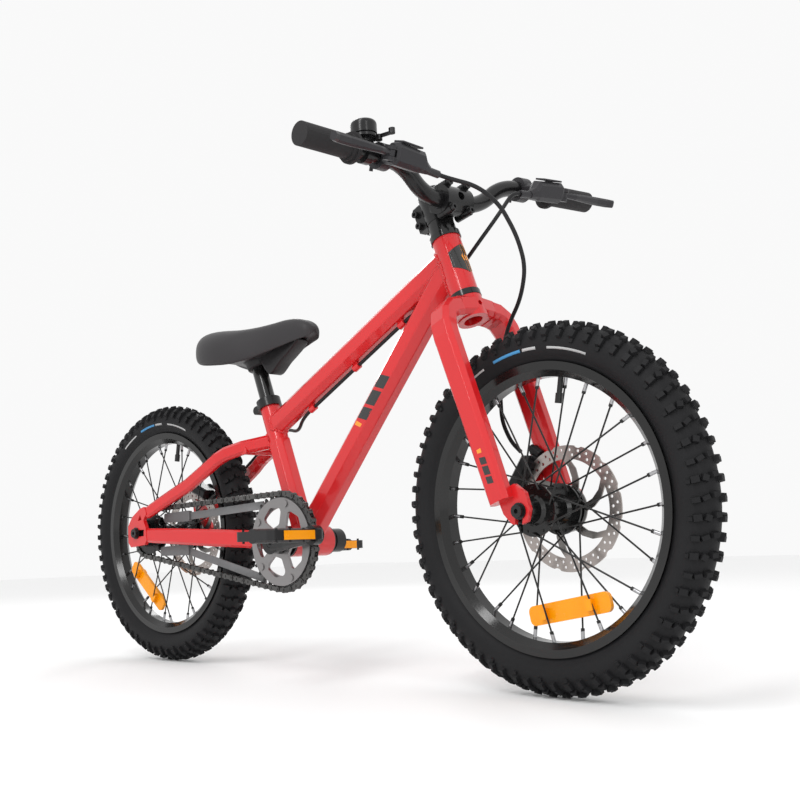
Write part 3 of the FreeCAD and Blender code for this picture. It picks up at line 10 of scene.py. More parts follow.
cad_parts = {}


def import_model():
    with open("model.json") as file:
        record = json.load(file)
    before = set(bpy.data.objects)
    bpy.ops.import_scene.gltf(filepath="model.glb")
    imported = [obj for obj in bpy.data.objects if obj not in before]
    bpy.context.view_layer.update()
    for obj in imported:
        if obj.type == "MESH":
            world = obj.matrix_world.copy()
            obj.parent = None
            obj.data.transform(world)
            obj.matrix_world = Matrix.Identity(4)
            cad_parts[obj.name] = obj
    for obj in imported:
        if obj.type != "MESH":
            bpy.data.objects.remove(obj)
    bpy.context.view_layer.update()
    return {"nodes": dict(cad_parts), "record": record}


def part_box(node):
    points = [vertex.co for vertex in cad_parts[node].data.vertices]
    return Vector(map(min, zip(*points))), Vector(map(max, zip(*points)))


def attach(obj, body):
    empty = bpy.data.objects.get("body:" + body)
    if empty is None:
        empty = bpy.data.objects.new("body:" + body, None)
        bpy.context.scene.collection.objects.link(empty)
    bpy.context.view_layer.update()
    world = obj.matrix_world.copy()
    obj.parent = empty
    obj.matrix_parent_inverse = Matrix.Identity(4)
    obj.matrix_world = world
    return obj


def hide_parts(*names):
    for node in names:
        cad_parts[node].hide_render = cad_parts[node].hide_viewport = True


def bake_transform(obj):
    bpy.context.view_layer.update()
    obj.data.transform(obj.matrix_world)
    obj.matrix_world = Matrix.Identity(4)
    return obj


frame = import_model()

NODES = frame["nodes"]
JOINTS = {j["name"]: j for j in frame["record"]["behaviour"]["joints"]}

# ------------------------------------------------------------------ places from the frame
STEER_FOOT = Vector(JOINTS["steering"]["pos_m"])
STEER_UP = Vector(JOINTS["steering"]["axis"]).normalized()
FRONT = Vector(JOINTS["front_wheel_spin"]["pos_m"])
FRONT_AXIS = Vector(JOINTS["front_wheel_spin"]["axis"]).normalized()
REAR = Vector(JOINTS["rear_wheel_spin"]["pos_m"])
CRANK = Vector(JOINTS["crank_spin"]["pos_m"])
SEAT_UP = Vector(JOINTS["saddle_height"]["axis"]).normalized()
STEER_TURN = math.atan2(-FRONT_AXIS.x, FRONT_AXIS.y) / STEER_UP.z
Y_AXIS = Vector((0, 1, 0))
Z_AXIS = Vector((0, 0, 1))
MM = 0.001


def steered(p):
    """A point drawn with the handlebar straight, moved to where the bar is turned."""
    turn = Matrix.Rotation(STEER_TURN, 4, STEER_UP)
    return STEER_FOOT + turn @ (Vector(p) - STEER_FOOT)


# ------------------------------------------------------------------ materials
COAT_ROUGH = 0.05
BROAD_SCALE = 14.0
BUMP_REACH = 0.001
SMOOTHEST = 0.02


def material(name, colour, rough, metal=0.0, coat=0.0, grain=400.0, depth=0.02, mottle=0.06, spread=0.08,
             second=None, specular=0.5):
    """Principled surface with fine grain, a slow colour drift (to second, if given) and uneven roughness."""
    m = bpy.data.materials.new(name)
    m.use_nodes = True
    nt = m.node_tree
    bsdf = nt.nodes["Principled BSDF"]
    bsdf.inputs["Metallic"].default_value = metal
    bsdf.inputs["Coat Weight"].default_value = coat
    bsdf.inputs["Coat Roughness"].default_value = COAT_ROUGH
    bsdf.inputs["Specular IOR Level"].default_value = specular
    coords = nt.nodes.new("ShaderNodeTexCoord")
    fine = nt.nodes.new("ShaderNodeTexNoise")
    fine.inputs["Scale"].default_value = grain
    fine.inputs["Detail"].default_value = 6.0
    nt.links.new(coords.outputs["Object"], fine.inputs["Vector"])
    broad = nt.nodes.new("ShaderNodeTexNoise")
    broad.inputs["Scale"].default_value = BROAD_SCALE
    broad.inputs["Detail"].default_value = 4.0
    nt.links.new(coords.outputs["Object"], broad.inputs["Vector"])
    tint = nt.nodes.new("ShaderNodeMix")
    tint.data_type = "RGBA"
    dark = [c * (1 - mottle * 2) for c in colour]
    other = second or colour
    light = [min(1.0, c * (1 + mottle * 2) + mottle * 0.01) for c in other]
    tint.inputs["A"].default_value = (*dark, 1)
    tint.inputs["B"].default_value = (*light, 1)
    nt.links.new(broad.outputs["Fac"], tint.inputs["Factor"])
    nt.links.new(tint.outputs["Result"], bsdf.inputs["Base Color"])
    rng = nt.nodes.new("ShaderNodeMapRange")
    rng.inputs["To Min"].default_value = max(SMOOTHEST, rough - spread)
    rng.inputs["To Max"].default_value = min(1.0, rough + spread)
    nt.links.new(fine.outputs["Fac"], rng.inputs["Value"])
    nt.links.new(rng.outputs["Result"], bsdf.inputs["Roughness"])
    bump = nt.nodes.new("ShaderNodeBump")
    bump.inputs["Strength"].default_value = depth
    bump.inputs["Distance"].default_value = BUMP_REACH
    nt.links.new(fine.outputs["Fac"], bump.inputs["Height"])
    nt.links.new(bump.outputs["Normal"], bsdf.inputs["Normal"])
    return m


RED = (0.60, 0.008, 0.011)
red = material("frame_red", RED, 0.34, coat=0.6, specular=0.35, grain=900, depth=0.015, mottle=0.03,
               spread=0.05)
red_weld = material("weld_red", RED, 0.34, coat=0.5, specular=0.35, grain=500, depth=0.12, mottle=0.05,
                    spread=0.06)
black_gloss = material("black_gloss", (0.006, 0.006, 0.006), 0.16, coat=0.15, specular=0.45, grain=600,
                       depth=0.02)
black_satin = material("black_satin", (0.007, 0.007, 0.0075), 0.24, specular=0.40, grain=700, depth=0.03)
black_ano = material("black_anodised", (0.010, 0.010, 0.011), 0.34, metal=0.2, specular=0.3, grain=900,
                     depth=0.03)
grey_lever = material("lever_grey", (0.028, 0.027, 0.030), 0.40, metal=0.2, specular=0.35, grain=1100,
                      depth=0.06)
tyre_rubber = material("tyre_rubber", (0.011, 0.011, 0.012), 0.60, specular=0.18, grain=350,
                       depth=0.15, mottle=0.10, spread=0.10)
grip_rubber = material("grip_rubber", (0.030, 0.029, 0.030), 0.66, specular=0.15, grain=800,
                       depth=0.15, mottle=0.08)
hose_rubber = material("hose_rubber", (0.008, 0.008, 0.009), 0.42, specular=0.3, grain=900, depth=0.05)
saddle_skin = material("saddle_skin", (0.034, 0.032, 0.034), 0.46, specular=0.25, grain=1500,
                       depth=0.10, mottle=0.05)
saddle_trim = material("saddle_trim", (0.018, 0.017, 0.018), 0.36, specular=0.25, grain=900, depth=0.06)
bolt_steel = material("bolt_steel", (0.035, 0.035, 0.036), 0.28, metal=0.75, grain=600, depth=0.04)
amber = material("amber_lens", (1.0, 0.33, 0.0), 0.25, coat=0.1, grain=250, depth=0.25, mottle=0.06,
                 specular=0.3)
grey_guard = material("guard_grey", (0.13, 0.13, 0.133), 0.50, grain=260, depth=0.6, mottle=0.30)
decal_black = material("decal_black", (0.008, 0.008, 0.008), 0.28, coat=0.6, grain=900, depth=0.01)
decal_orange = material("decal_orange", (0.90, 0.30, 0.01), 0.30, coat=0.6, grain=900, depth=0.01)
stripe_grey = material("sidewall_print", (0.42, 0.42, 0.42), 0.60, grain=900, depth=0.05, mottle=0.2)
stripe_blue = material("sidewall_blue", (0.05, 0.25, 0.50), 0.60, grain=900, depth=0.05, mottle=0.2)


def banded(name, first, second, axis_point, axis, radius, soft=0.0002):
    """One object in two finishes: first inside the radius round an axis, second outside it."""
    m = bpy.data.materials.new(name)
    m.use_nodes = True
    nt = m.node_tree
    bsdf = nt.nodes["Principled BSDF"]
    coords = nt.nodes.new("ShaderNodeTexCoord")
    sub = nt.nodes.new("ShaderNodeVectorMath")
    sub.operation = "SUBTRACT"
    sub.inputs[1].default_value = axis_point
    nt.links.new(coords.outputs["Object"], sub.inputs[0])
    cross = nt.nodes.new("ShaderNodeVectorMath")
    cross.operation = "CROSS_PRODUCT"
    cross.inputs[1].default_value = axis
    nt.links.new(sub.outputs[0], cross.inputs[0])
    length = nt.nodes.new("ShaderNodeVectorMath")
    length.operation = "LENGTH"
    nt.links.new(cross.outputs[0], length.inputs[0])
    step = nt.nodes.new("ShaderNodeMapRange")
    step.inputs["From Min"].default_value = radius - soft
    step.inputs["From Max"].default_value = radius + soft
    nt.links.new(length.outputs["Value"], step.inputs["Value"])
    noise = nt.nodes.new("ShaderNodeTexNoise")
    noise.inputs["Scale"].default_value = 600.0
    nt.links.new(coords.outputs["Object"], noise.inputs["Vector"])
    for socket, kind in (("Base Color", "RGBA"), ("Roughness", "FLOAT"), ("Metallic", "FLOAT")):
        mix = nt.nodes.new("ShaderNodeMix")
        mix.data_type = kind
        nt.links.new(step.outputs["Result"], mix.inputs[0])
        for key, finish in (("A", first), ("B", second)):
            entry = next(i for i in mix.inputs if i.enabled and i.name == key)
            entry.default_value = finish[socket]
        nt.links.new(next(o for o in mix.outputs if o.enabled), bsdf.inputs[socket])
    bump = nt.nodes.new("ShaderNodeBump")
    bump.inputs["Strength"].default_value = 0.04
    bump.inputs["Distance"].default_value = BUMP_REACH
    nt.links.new(noise.outputs["Fac"], bump.inputs["Height"])
    nt.links.new(bump.outputs["Normal"], bsdf.inputs["Normal"])
    return m


BLACK_WIRE = {"Base Color": (0.02, 0.02, 0.02, 1), "Roughness": 0.32, "Metallic": 0.5}
NIPPLE = {"Base Color": (0.42, 0.42, 0.43, 1), "Roughness": 0.28, "Metallic": 0.95}
DARK_ARM = {"Base Color": (0.22, 0.21, 0.20, 1), "Roughness": 0.30, "Metallic": 0.9}
RING_STEEL = {"Base Color": (0.40, 0.36, 0.34, 1), "Roughness": 0.28, "Metallic": 0.9}
RING_BLACK = {"Base Color": (0.018, 0.018, 0.018, 1), "Roughness": 0.34, "Metallic": 0.5}
CARRIER_SILVER = {"Base Color": (0.26, 0.25, 0.25, 1), "Roughness": 0.34, "Metallic": 0.8}

NIPPLE_START = 0.1345
ROTOR_RING_START = 0.050
ROTOR_BLEND = 0.004
CHAINRING_TEETH_START = 0.0593
spoke_front = banded("spokes_front", BLACK_WIRE, NIPPLE, FRONT, FRONT_AXIS, NIPPLE_START)
spoke_rear = banded("spokes_rear", BLACK_WIRE, NIPPLE, REAR, Y_AXIS, NIPPLE_START)
rotor_front = banded("rotor_front", DARK_ARM, RING_STEEL, FRONT, FRONT_AXIS, ROTOR_RING_START, ROTOR_BLEND)
rotor_rear = banded("rotor_rear", DARK_ARM, RING_STEEL, REAR, Y_AXIS, ROTOR_RING_START, ROTOR_BLEND)
ring_two_tone = banded("chainring_two_tone", CARRIER_SILVER, RING_BLACK, CRANK, Y_AXIS, CHAINRING_TEETH_START)
rim_black = material("rim_black", (0.006, 0.006, 0.006), 0.16, coat=0.1, specular=0.4, grain=500, depth=0.02)
chain_link = material("chain_links", (0.025, 0.025, 0.025), 0.28, metal=0.8, grain=300, depth=0.10,
                      mottle=0.30, second=(0.10, 0.098, 0.096))


def paint(names, mat):
    for name in names.split():
        o = NODES[name]
        if not o.material_slots:
            o.data.materials.append(mat)
        for slot in o.material_slots:
            slot.material = mat


paint("head_tube top_tube down_tube seat_tube bottom_bracket_shell seatstay_right seatstay_left", red)
paint("chainstay_right chainstay_left dropout_right dropout_left cable_guides", red)
paint("fork_crown fork_leg_right fork_leg_left", red)
paint("headset_cups headset_spacers seatpost bottom_bracket_cups", black_gloss)
paint("handlebar stem stem_faceplate seat_clamp bell", black_satin)
paint("front_hub rear_hub front_rim rear_rim", rim_black)
paint("stem_bolts front_axle rear_axle crank_axle bell_striker", bolt_steel)
paint("crank_arm_right crank_arm_left", black_satin)
paint("rear_sprocket pedal_axles", bolt_steel)
paint("front_spokes", spoke_front)
paint("rear_spokes", spoke_rear)
paint("front_rotor", rotor_front)
paint("rear_rotor", rotor_rear)
paint("chainring", ring_two_tone)
paint("chain", chain_link)
paint("chain_guard", grey_guard)
paint("grips", grip_rubber)
paint("brake_lever_body_right brake_lever_body_left", grey_lever)
paint("brake_blade_right brake_blade_left", grey_lever)
paint("front_caliper rear_caliper", black_ano)
paint("front_brake_hose", hose_rubber)
paint("front_spoke_reflector rear_spoke_reflector", amber)


PEDAL_HALF = 0.035


def pedal_skin(side, body):
    """A copy of the CAD pedal with its front and rear reflector faces in amber."""
    node = "pedal_" + side
    o = bpy.data.objects.new(node + "_skin", NODES[node].data.copy())
    bpy.context.collection.objects.link(o)
    o.data.materials.clear()
    o.data.materials.append(pedal_black)
    o.data.materials.append(amber)
    spindle = Vector(JOINTS["pedal_%s_spin" % side]["pos_m"])
    for p in o.data.polygons:
        reach = abs(p.center.x - spindle.x)
        p.material_index = 1 if reach > PEDAL_HALF + 0.0001 else 0
    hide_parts(node)
    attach(o, body)


pedal_black = material("pedal_black", (0.016, 0.016, 0.017), 0.40, grain=500, depth=0.10, specular=0.3)
pedal_skin("right", "pedal_r")
pedal_skin("left", "pedal_l")


# ------------------------------------------------------------------ mesh helpers
def mesh_object(name, verts, faces, mat, smooth=True):
    me = bpy.data.meshes.new(name)
    me.from_pydata([tuple(v) for v in verts], [], faces)
    me.validate()
    me.update()
    o = bpy.data.objects.new(name, me)
    bpy.context.collection.objects.link(o)
    me.materials.append(mat)
    if smooth:
        for p in me.polygons:
            p.use_smooth = True
    bm = bmesh.new()
    bm.from_mesh(me)
    bmesh.ops.recalc_face_normals(bm, faces=bm.faces)
    bm.to_mesh(me)
    bm.free()
    return o


def add_box(verts, faces, centre, ax, ay, az, taper=0.85):
    """Adds a box with half-size vectors ax, ay, az; its +az face is smaller by taper."""
    n = len(verts)
    for k in (-1, 1):
        t = 1.0 if k < 0 else taper
        for i, j in ((-1, -1), (1, -1), (1, 1), (-1, 1)):
            verts.append(centre + ax * (i * t) + ay * (j * t) + az * k)
    faces += [(n, n + 3, n + 2, n + 1), (n + 4, n + 5, n + 6, n + 7)]
    for i in range(4):
        j = (i + 1) % 4
        faces.append((n + i, n + j, n + 4 + j, n + 4 + i))


def lathe(profile, steps):
    """A closed ring about Y from a closed (y, radius) outline, in metres."""
    verts, faces = [], []
    m = len(profile)
    for s in range(steps):
        a = 2 * math.pi * s / steps
        for y, r in profile:
            verts.append(Vector((r * math.cos(a), y, r * math.sin(a))))
    for s in range(steps):
        t = (s + 1) % steps
        for i in range(m):
            j = (i + 1) % m
            faces.append((s * m + i, s * m + j, t * m + j, t * m + i))
    return verts, faces


# ------------------------------------------------------------------ tyres
TYRE_R = 0.2025
TYRE_HALF = 0.0245
KNOB_H = 0.0048
CASING_R = TYRE_R - KNOB_H
SECTION_R = 0.1775
CASING_HALF = TYRE_HALF - 0.0035
TREAD_ROWS = 66
CASING_STEPS = 160
KNOB_SINK = 0.0006
KNOB_TAPER = 0.82


def casing_outline():
    """Outer casing from bead to bead with the side wall's bulge, then the inside back."""
    outer = []
    half_h = CASING_R - SECTION_R
    for i in range(25):
        a = math.radians(-52 + (284 / 24) * i)
        outer.append((CASING_HALF * math.cos(a), SECTION_R + half_h * math.sin(a)))
    inner = [(-0.0105, 0.1600), (-0.0175, 0.1740), (-0.0130, 0.1900)]
    inner += [(-y, r) for y, r in reversed(inner)]
    return [(0.0122, 0.1552)] + outer + [(-0.0122, 0.1552)] + inner


def casing_point(angle):
    """Place and outward direction on the casing's section, angle 90 at the crown."""
    a = math.radians(angle)
    half_h = CASING_R - SECTION_R
    p = (CASING_HALF * math.cos(a), SECTION_R + half_h * math.sin(a))
    n = Vector((math.cos(a) / CASING_HALF, math.sin(a) / half_h)).normalized()
    return p, n


def tread_blocks():
    """Each block: angle round the wheel, angle across, half length, half width (mm), height (m), skew."""
    blocks = []
    for row in range(TREAD_ROWS):
        base = 360.0 / TREAD_ROWS * row
        even = row % 2
        for side in (-1, 1):
            centre_turn = base + (1.3 if side > 0 else 0)
            blocks.append((centre_turn, 90 + side * (13 if even else 17), 3.1, 4.2, KNOB_H, side * 8))
            if even:
                blocks.append((base + 0.5, 90 + side * 37, 3.6, 3.6, 0.0044, side * -20))
                blocks.append((base + 0.4, 90 + side * 60, 3.9, 4.6, 0.0042, side * 6))
                blocks.append((base, 90 + side * 78, 2.4, 2.6, 0.0018, 0))
            else:
                blocks.append((base + 0.5, 90 + side * 41, 2.6, 4.4, 0.0044, side * 25))
                blocks.append((base + 0, 90 + side * 63, 3.0, 4.6, 0.0042, side * 6))
    return blocks


def tyre(node, centre, axis, body):
    """Knobbly off-road tyre: casing, centre blocks, transition blocks and shoulder blocks."""
    verts, faces = lathe(casing_outline(), CASING_STEPS)
    rnd = random.Random(4)
    for turn, across, half_l, half_w, height, skew in tread_blocks():
        (y, r), n = casing_point(across)
        a = math.radians(turn)
        radial = Vector((math.cos(a), 0, math.sin(a)))
        ring = Vector((-math.sin(a), 0, math.cos(a)))
        out = (radial * n.y + Y_AXIS * n.x).normalized()
        side = out.cross(ring).normalized()
        s = math.radians(skew + rnd.uniform(-2, 2))
        along = ring * math.cos(s) + side * math.sin(s)
        cross = side * math.cos(s) - ring * math.sin(s)
        foot = radial * r + Y_AXIS * y
        add_box(verts, faces, foot + out * (height / 2 - KNOB_SINK), along * (half_l * MM),
                cross * (half_w * MM), out * (height / 2 + KNOB_SINK), KNOB_TAPER)
    o = mesh_object(node + "_tread", verts, faces, tyre_rubber, smooth=False)
    ring_faces = CASING_STEPS * len(casing_outline())
    for i, p in enumerate(o.data.polygons):
        p.use_smooth = i < ring_faces
    turn = Y_AXIS.rotation_difference(axis)
    o.matrix_world = Matrix.Translation(centre) @ turn.to_matrix().to_4x4()
    bpy.context.view_layer.update()
    o.data.transform(o.matrix_world)
    o.matrix_world = Matrix.Identity(4)
    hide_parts(node)
    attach(o, body)


tyre("front_tyre", FRONT, FRONT_AXIS, "front_wheel")
tyre("rear_tyre", REAR, Y_AXIS, "rear_wheel")


# ------------------------------------------------------------------ welds
SEAM_STEP = 0.0022


def seam(node, other, gap=0.0006):
    """Points along one tube's end that lie on the other tube's surface, each with its normal."""
    tree = BVHTree.FromObject(NODES[other], bpy.context.evaluated_depsgraph_get())
    me = NODES[node].data
    found = []
    for e in me.edges:
        a, b = (me.vertices[i].co for i in e.vertices)
        near = [tree.find_nearest(p) for p in (a, b)]
        if all(hit[3] is not None and hit[3] < gap for hit in near):
            steps = max(1, int((a - b).length / SEAM_STEP))
            for k in range(steps + 1):
                found.append((a.lerp(b, k / steps), near[0][1]))
    return found


def weld(name, node, other, body="frame", size=0.0026):
    """A rippled bead of small balls along the joint between two tubes."""
    points = seam(node, other)
    if not points:
        print("no seam", node, other)
        return
    kept = []
    for p, n in points:
        if all((p - q).length > size * 0.75 for q, _ in kept):
            kept.append((p, n))
    verts, faces = [], []
    for p, n in kept:
        bm = bmesh.new()
        bmesh.ops.create_icosphere(bm, subdivisions=1, radius=size)
        base = len(verts)
        for v in bm.verts:
            verts.append(p + v.co)
        for f in bm.faces:
            faces.append([base + v.index for v in f.verts])
        bm.free()
    o = mesh_object(name, verts, faces, red_weld)
    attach(o, body)


weld("weld_top_head", "top_tube", "head_tube")
weld("weld_down_head", "down_tube", "head_tube")
weld("weld_top_down", "down_tube", "top_tube")
weld("weld_top_seat", "top_tube", "seat_tube")
weld("weld_down_shell", "down_tube", "bottom_bracket_shell")
weld("weld_seat_shell", "seat_tube", "bottom_bracket_shell")
for hand in ("right", "left"):
    weld("weld_chainstay_" + hand, "chainstay_" + hand, "bottom_bracket_shell")
    weld("weld_seatstay_" + hand, "seatstay_" + hand, "seat_tube")


# ------------------------------------------------------------------ rear hose
def rear_hose():
    """A copy of the CAD hose in hose rubber, in place of the CAD part, between the frame and the steering."""
    source = NODES["rear_brake_hose"]
    o = bpy.data.objects.new("rear_hose_skin", source.data.copy())
    bpy.context.collection.objects.link(o)
    o.data.materials.clear()
    o.data.materials.append(hose_rubber)
    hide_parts("rear_brake_hose")
    low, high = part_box("rear_brake_hose")
    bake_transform(o)


rear_hose()


# ------------------------------------------------------------------ saddle
# Cross-sections from tail to nose, in mm: x, half width, and the heights of top, edge and bottom.
SADDLE = [(-228, 12, 480, 473, 469), (-225, 27, 486, 469, 461), (-214, 46, 492, 462, 450),
          (-190, 59, 493, 454, 441), (-160, 62, 490, 449, 436), (-130, 56, 486, 448, 434),
          (-100, 42, 485, 452, 438), (-72, 30, 486, 458, 445), (-48, 23, 487, 463, 450),
          (-26, 18.5, 484, 465, 454), (-11, 14, 477, 465, 456), (-4, 8, 470, 463, 459)]


def catmull(p0, p1, p2, p3, t):
    """The point at t on the smooth curve from p1 to p2."""
    return tuple(0.5 * (2 * b + (c - a) * t + (2 * a - 5 * b + 4 * c - d) * t * t
                        + (3 * b - a - 3 * c + d) * t**3)
                 for a, b, c, d in zip(p0, p1, p2, p3))


def resample(points, per, closed=False):
    """A smooth curve through the points, with per steps to each span."""
    out = []
    n = len(points)
    spans = n if closed else n - 1
    for i in range(spans):
        if closed:
            four = [points[(i + k) % n] for k in (-1, 0, 1, 2)]
        else:
            four = [points[max(0, i - 1)], points[i], points[i + 1], points[min(n - 1, i + 2)]]
        for k in range(per):
            out.append(catmull(*four, k / per))
    if not closed:
        out.append(points[-1])
    return out


def saddle():
    """Moulded padded top with a rolled lower edge and a hollow underside."""
    sections = resample(SADDLE, 4)
    verts, faces = [], []
    for x, half, top, edge, bottom in sections:
        rise = top - edge
        flat = [(0, top), (half * 0.42, top + 0.3), (half * 0.76, top - rise * 0.17),
                (half * 0.96, top - rise * 0.55), (half, edge), (half * 0.97, bottom + 3.5),
                (half * 0.89, bottom), (half * 0.78, bottom + 2.0), (half * 0.60, bottom + 6),
                (0, bottom + 7)]
        ring = flat + [(-y, z) for y, z in reversed(flat[1:-1])]
        for y, z in resample(ring, 2, closed=True):
            verts.append(Vector((x, y, z)) * MM)
    m = len(verts) // len(sections)
    for s in range(len(sections) - 1):
        for i in range(m):
            j = (i + 1) % m
            faces.append((s * m + i, s * m + j, (s + 1) * m + j, (s + 1) * m + i))
    faces.append(list(range(m)))
    faces.append(list(range((len(sections) - 1) * m, len(sections) * m))[::-1])
    o = mesh_object("saddle_pad", verts, faces, saddle_skin)
    mod = o.modifiers.new("smooth", "SUBSURF")
    mod.levels = 1
    mod.render_levels = 1
    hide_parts("saddle")
    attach(o, "seat")


def smooth_bevel(o, width, segments=3, angle=35):
    mod = o.modifiers.new("round", "BEVEL")
    mod.width = width
    mod.segments = segments
    mod.limit_method = "ANGLE"
    mod.angle_limit = math.radians(angle)


SOCKET_RISE = 0.266


def saddle_socket():
    """Flared socket round the seatpost."""
    verts, faces = [], []
    foot = CRANK + SEAT_UP * SOCKET_RISE
    side = SEAT_UP.cross(Y_AXIS).normalized()
    rings = [(0.0, 0.0150), (0.002, 0.0172), (0.010, 0.0185), (0.020, 0.024), (0.028, 0.034)]
    n = 40
    for lift, radius in rings:
        for k in range(n):
            a = 2 * math.pi * k / n
            verts.append(foot + SEAT_UP * lift + side * (radius * math.cos(a))
                         + Y_AXIS * (radius * 0.92 * math.sin(a)))
    for s in range(len(rings) - 1):
        for i in range(n):
            j = (i + 1) % n
            faces.append((s * n + i, s * n + j, (s + 1) * n + j, (s + 1) * n + i))
    faces.append(list(range(n)))
    faces.append(list(range((len(rings) - 1) * n, len(rings) * n))[::-1])
    o = mesh_object("saddle_socket", verts, faces, saddle_trim)
    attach(o, "seat")


def saddle_rib():
    """The rib that runs from the socket up to the nose."""
    outline = [(-112, 446), (-104, 431), (-95, 420), (-87, 417), (-79, 421), (-66, 431), (-52, 439),
               (-36, 449), (-30, 458), (-60, 462), (-100, 460)]
    smooth = resample(outline, 4, closed=True)
    verts, faces = [], []
    m = len(smooth)
    for y in (-12.0, -9.0, 9.0, 12.0):
        shrink = 0.93 if abs(y) > 10 else 1.0
        cx = sum(p[0] for p in smooth) / m
        cz = sum(p[1] for p in smooth) / m
        for x, z in smooth:
            verts.append(Vector((cx + (x - cx) * shrink, y, cz + (z - cz) * shrink)) * MM)
    for s in range(3):
        for i in range(m):
            j = (i + 1) % m
            faces.append((s * m + i, s * m + j, (s + 1) * m + j, (s + 1) * m + i))
    faces.append(list(range(m))[::-1])
    faces.append(list(range(3 * m, 4 * m)))
    o = mesh_object("saddle_rib", verts, faces, saddle_trim)
    smooth_bevel(o, 0.0008)
    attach(o, "seat")


saddle()
saddle_socket()
saddle_rib()


# ------------------------------------------------------------------ marks (plain shapes, no lettering)
def patch(name, node, corners, cast, mat, body, cells=(12, 4), lift=0.00018):
    """A thin skin with four corners, dropped along cast onto a CAD node."""
    tree = BVHTree.FromObject(NODES[node], bpy.context.evaluated_depsgraph_get())
    nu, nv = cells
    verts, faces = [], []
    a, b, c, d = (Vector(p) for p in corners)
    cast = Vector(cast).normalized()
    for i in range(nu + 1):
        for j in range(nv + 1):
            u, v = i / nu, j / nv
            p = (a * (1 - u) + b * u) * (1 - v) + (d * (1 - u) + c * u) * v
            hit = tree.ray_cast(p - cast * 0.08, cast)
            if hit[0] is None:
                return None
            verts.append(hit[0] - cast * lift)
    for i in range(nu):
        for j in range(nv):
            q = i * (nv + 1) + j
            faces.append((q, q + 1, q + nv + 2, q + nv + 1))
    o = mesh_object(name, verts, faces, mat, smooth=False)
    solid = o.modifiers.new("film", "SOLIDIFY")
    solid.thickness = 0.00012
    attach(o, body)
    return o


def slanted_marks(name, node, start, along, across, cast, lengths, height, gap, lean, mat, body):
    """A row of slanted bars along a tube."""
    at = 0.0
    for k, length in enumerate(lengths):
        base = Vector(start) + along * at
        low_a, low_b = base - across * (height / 2), base + along * length - across * (height / 2)
        shift = along * lean
        corners = [low_a, low_b, low_b + across * height + shift, low_a + across * height + shift]
        patch("%s_%02d" % (name, k), node, corners, cast, mat, body)
        at += length + gap


DT_LOW = CRANK + Vector((0.003, 0, 0.006))
DT_HIGH = Vector((0.241, 0, 0.500))
DT_ALONG = (DT_HIGH - DT_LOW).normalized()
DT_ACROSS = DT_ALONG.cross(Y_AXIS).normalized() * -1
DT_MARKS_START = 0.190
BARS = [0.017, 0.021, 0.018]
for hand, sign in (("right", 1), ("left", -1)):
    begin = DT_LOW + DT_ALONG * DT_MARKS_START
    slanted_marks("mark_down_" + hand, "down_tube", begin, DT_ALONG, DT_ACROSS, (0, sign, 0), BARS,
                  height=0.0150, gap=0.0045, lean=0.006, mat=decal_black, body="frame")
    tip = begin - DT_ALONG * 0.010
    patch("mark_down_tip_" + hand, "down_tube",
          [tip - DT_ACROSS * 0.006, tip + DT_ALONG * 0.006 - DT_ACROSS * 0.006,
           tip + DT_ALONG * 0.008 + DT_ACROSS * 0.004, tip + DT_ALONG * 0.003 + DT_ACROSS * 0.004],
          (0, sign, 0), decal_orange, "frame")


def head_badge():
    """Plain black hexagon on the front of the head tube, with three orange bars."""
    low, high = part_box("head_tube")
    middle_z = 0.497
    foot = STEER_FOOT + STEER_UP * ((middle_z - STEER_FOOT.z) / STEER_UP.z)
    ahead = Y_AXIS.cross(STEER_UP).normalized()
    radius = 0.0172
    half_high, half_wide = 0.019, 0.0195

    def skin(name, rows, cols, width_at, mat, lift):
        verts, faces = [], []
        for i in range(rows + 1):
            v = half_high * (2 * i / rows - 1)
            left, right = width_at(v)
            for j in range(cols + 1):
                a = (left + (right - left) * j / cols) / radius
                out = ahead * math.cos(a) - Y_AXIS * math.sin(a)
                verts.append(foot + STEER_UP * v + out * (radius + lift))
        for i in range(rows):
            for j in range(cols):
                q = i * (cols + 1) + j
                faces.append((q, q + 1, q + cols + 2, q + cols + 1))
        o = mesh_object(name, verts, faces, mat)
        solid = o.modifiers.new("film", "SOLIDIFY")
        solid.thickness = 0.0003
        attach(o, "frame")

    def hexagon(v):
        w = half_wide if abs(v) < 0.010 else half_wide * (half_high - abs(v)) / 0.009 + 0.0001
        return -w, w

    def bar(offset):
        def width_at(v):
            if abs(v) < 0.0042:
                return offset + v * 0.25, offset + v * 0.25 + 0.0018
            return offset, offset + 1e-5
        return width_at

    skin("head_badge", 30, 14, hexagon, decal_black, 0.0002)
    for k, offset in enumerate((-0.0048, -0.0010, 0.0028)):
        skin("head_badge_bar_%d" % k, 31, 2, bar(offset), decal_orange, 0.0005)


head_badge()

STEER_MATRIX = Matrix.Rotation(STEER_TURN, 4, STEER_UP)
LEG_DOWN = STEER_MATRIX @ -STEER_UP
LEG_FWD = STEER_MATRIX @ Y_AXIS.cross(STEER_UP).normalized()
LEG_BARS = [0.008, 0.010, 0.008]
for hand, sign in (("right", 1), ("left", -1)):
    start = steered((0.3215, -sign * 0.055, 0.2635))
    cast = STEER_MATRIX @ Vector((0, sign, 0))
    slanted_marks("mark_fork_" + hand, "fork_leg_" + hand, start, LEG_DOWN, LEG_FWD, cast, LEG_BARS,
                  height=0.0085, gap=0.0022, lean=0.002, mat=decal_black, body="steering")
    tip = start - LEG_DOWN * 0.009
    patch("mark_fork_tip_" + hand, "fork_leg_" + hand,
          [tip - LEG_FWD * 0.004, tip - LEG_FWD * 0.004 + LEG_DOWN * 0.004,
           tip + LEG_FWD * 0.002 + LEG_DOWN * 0.005, tip + LEG_FWD * 0.002],
          cast, decal_orange, "steering")


PRINT_LIFT = 0.0002


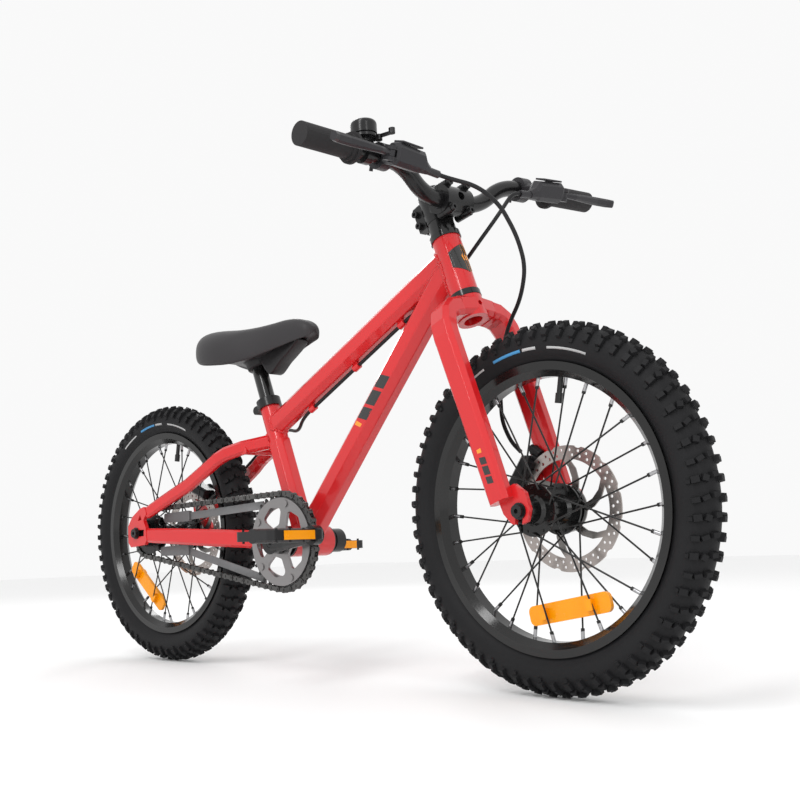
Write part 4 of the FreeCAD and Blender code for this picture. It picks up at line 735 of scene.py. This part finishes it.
def sidewall_marks(node, centre, axis, body, turn_deg):
    """Plain arc dashes on the side wall, where a tyre carries its print."""
    rotation = Y_AXIS.rotation_difference(axis).to_matrix()
    spans = [(0, 13, stripe_grey, 0.7), (18, 13, stripe_blue, 1.0), (32, 6, stripe_grey, 1.0),
             (43, 17, stripe_grey, 0.8)]
    for side in (-1, 1):
        for n, (start, length, mat, scale) in enumerate(spans):
            verts, faces = [], []
            steps = max(4, int(length * 1.5))
            for i in range(steps + 1):
                a = math.radians(turn_deg - start - length * i / steps)
                for q in (-17, -17 + 9 * scale):
                    (y, r), nrm = casing_point(q)
                    r += nrm.y * PRINT_LIFT
                    y += nrm.x * PRINT_LIFT
                    verts.append(centre + rotation @ Vector((r * math.cos(a), side * y, r * math.sin(a))))
            for i in range(steps):
                faces.append((2 * i, 2 * i + 1, 2 * i + 3, 2 * i + 2))
            o = mesh_object("%s_print_%d_0_%d" % (node, side + 1, n), verts, faces, mat)
            solid = o.modifiers.new("film", "SOLIDIFY")
            solid.thickness = 0.0001
            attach(o, body)


PRINT_START_DEG = 124
sidewall_marks("front_tyre", FRONT, FRONT_AXIS, "front_wheel", PRINT_START_DEG)
sidewall_marks("rear_tyre", REAR, Y_AXIS, "rear_wheel", PRINT_START_DEG)


# ------------------------------------------------------------------ floor, light, camera
def floor():
    bpy.ops.mesh.primitive_plane_add(size=14, location=(0, 0, -0.0005))
    o = bpy.context.object
    o.name = "floor"
    m = bpy.data.materials.new("floor_white")
    m.use_nodes = True
    b = m.node_tree.nodes["Principled BSDF"]
    b.inputs["Base Color"].default_value = (0.93, 0.93, 0.93, 1)
    b.inputs["Roughness"].default_value = 0.9
    b.inputs["Specular IOR Level"].default_value = 0.1
    o.data.materials.append(m)


def area_light(name, at, look, size, power):
    d = bpy.data.lights.new(name, "AREA")
    d.shape = "RECTANGLE"
    d.size = size[0]
    d.size_y = size[1]
    d.energy = power
    o = bpy.data.objects.new(name, d)
    bpy.context.collection.objects.link(o)
    o.location = at
    o.rotation_euler = (Vector(look) - Vector(at)).to_track_quat("-Z", "Y").to_euler()


def world():
    w = bpy.data.worlds.new("studio")
    w.use_nodes = True
    w.node_tree.nodes["Background"].inputs["Color"].default_value = (1, 1, 1, 1)
    w.node_tree.nodes["Background"].inputs["Strength"].default_value = 0.95
    bpy.context.scene.world = w


def camera():
    """A low view from ahead of the bicycle and to its right."""
    yaw, pitch, roll = math.radians(137.877), math.radians(2.5015), math.radians(-1.9606)
    forward = Vector((math.cos(pitch) * math.cos(yaw), math.cos(pitch) * math.sin(yaw), math.sin(pitch)))
    right = forward.cross(Z_AXIS).normalized()
    up = right.cross(forward)
    r = right * math.cos(roll) + up * math.sin(roll)
    u = up * math.cos(roll) - right * math.sin(roll)
    cam = bpy.data.cameras.new("camera")
    cam.sensor_width = 36.0
    cam.lens = 45.822
    cam.shift_x = 0.1222
    cam.shift_y = 0.1314
    cam.clip_start = 0.01
    o = bpy.data.objects.new("camera", cam)
    bpy.context.collection.objects.link(o)
    rot = Matrix((r, u, -forward)).transposed().to_4x4()
    o.matrix_world = Matrix.Translation(Vector((0.99571, -0.93816, 0.16837))) @ rot
    bpy.context.scene.camera = o


floor()
world()
area_light("key", (0.5, -1.7, 2.0), (0, 0, 0.3), (0.35, 2.0), 22)
area_light("fill", (2.2, -0.9, 0.9), (0.1, 0, 0.3), (0.25, 1.2), 5)
area_light("rim", (-1.7, 1.5, 1.8), (0, 0, 0.3), (0.3, 1.8), 9)
bpy.context.scene.view_settings.view_transform = "Standard"
camera()
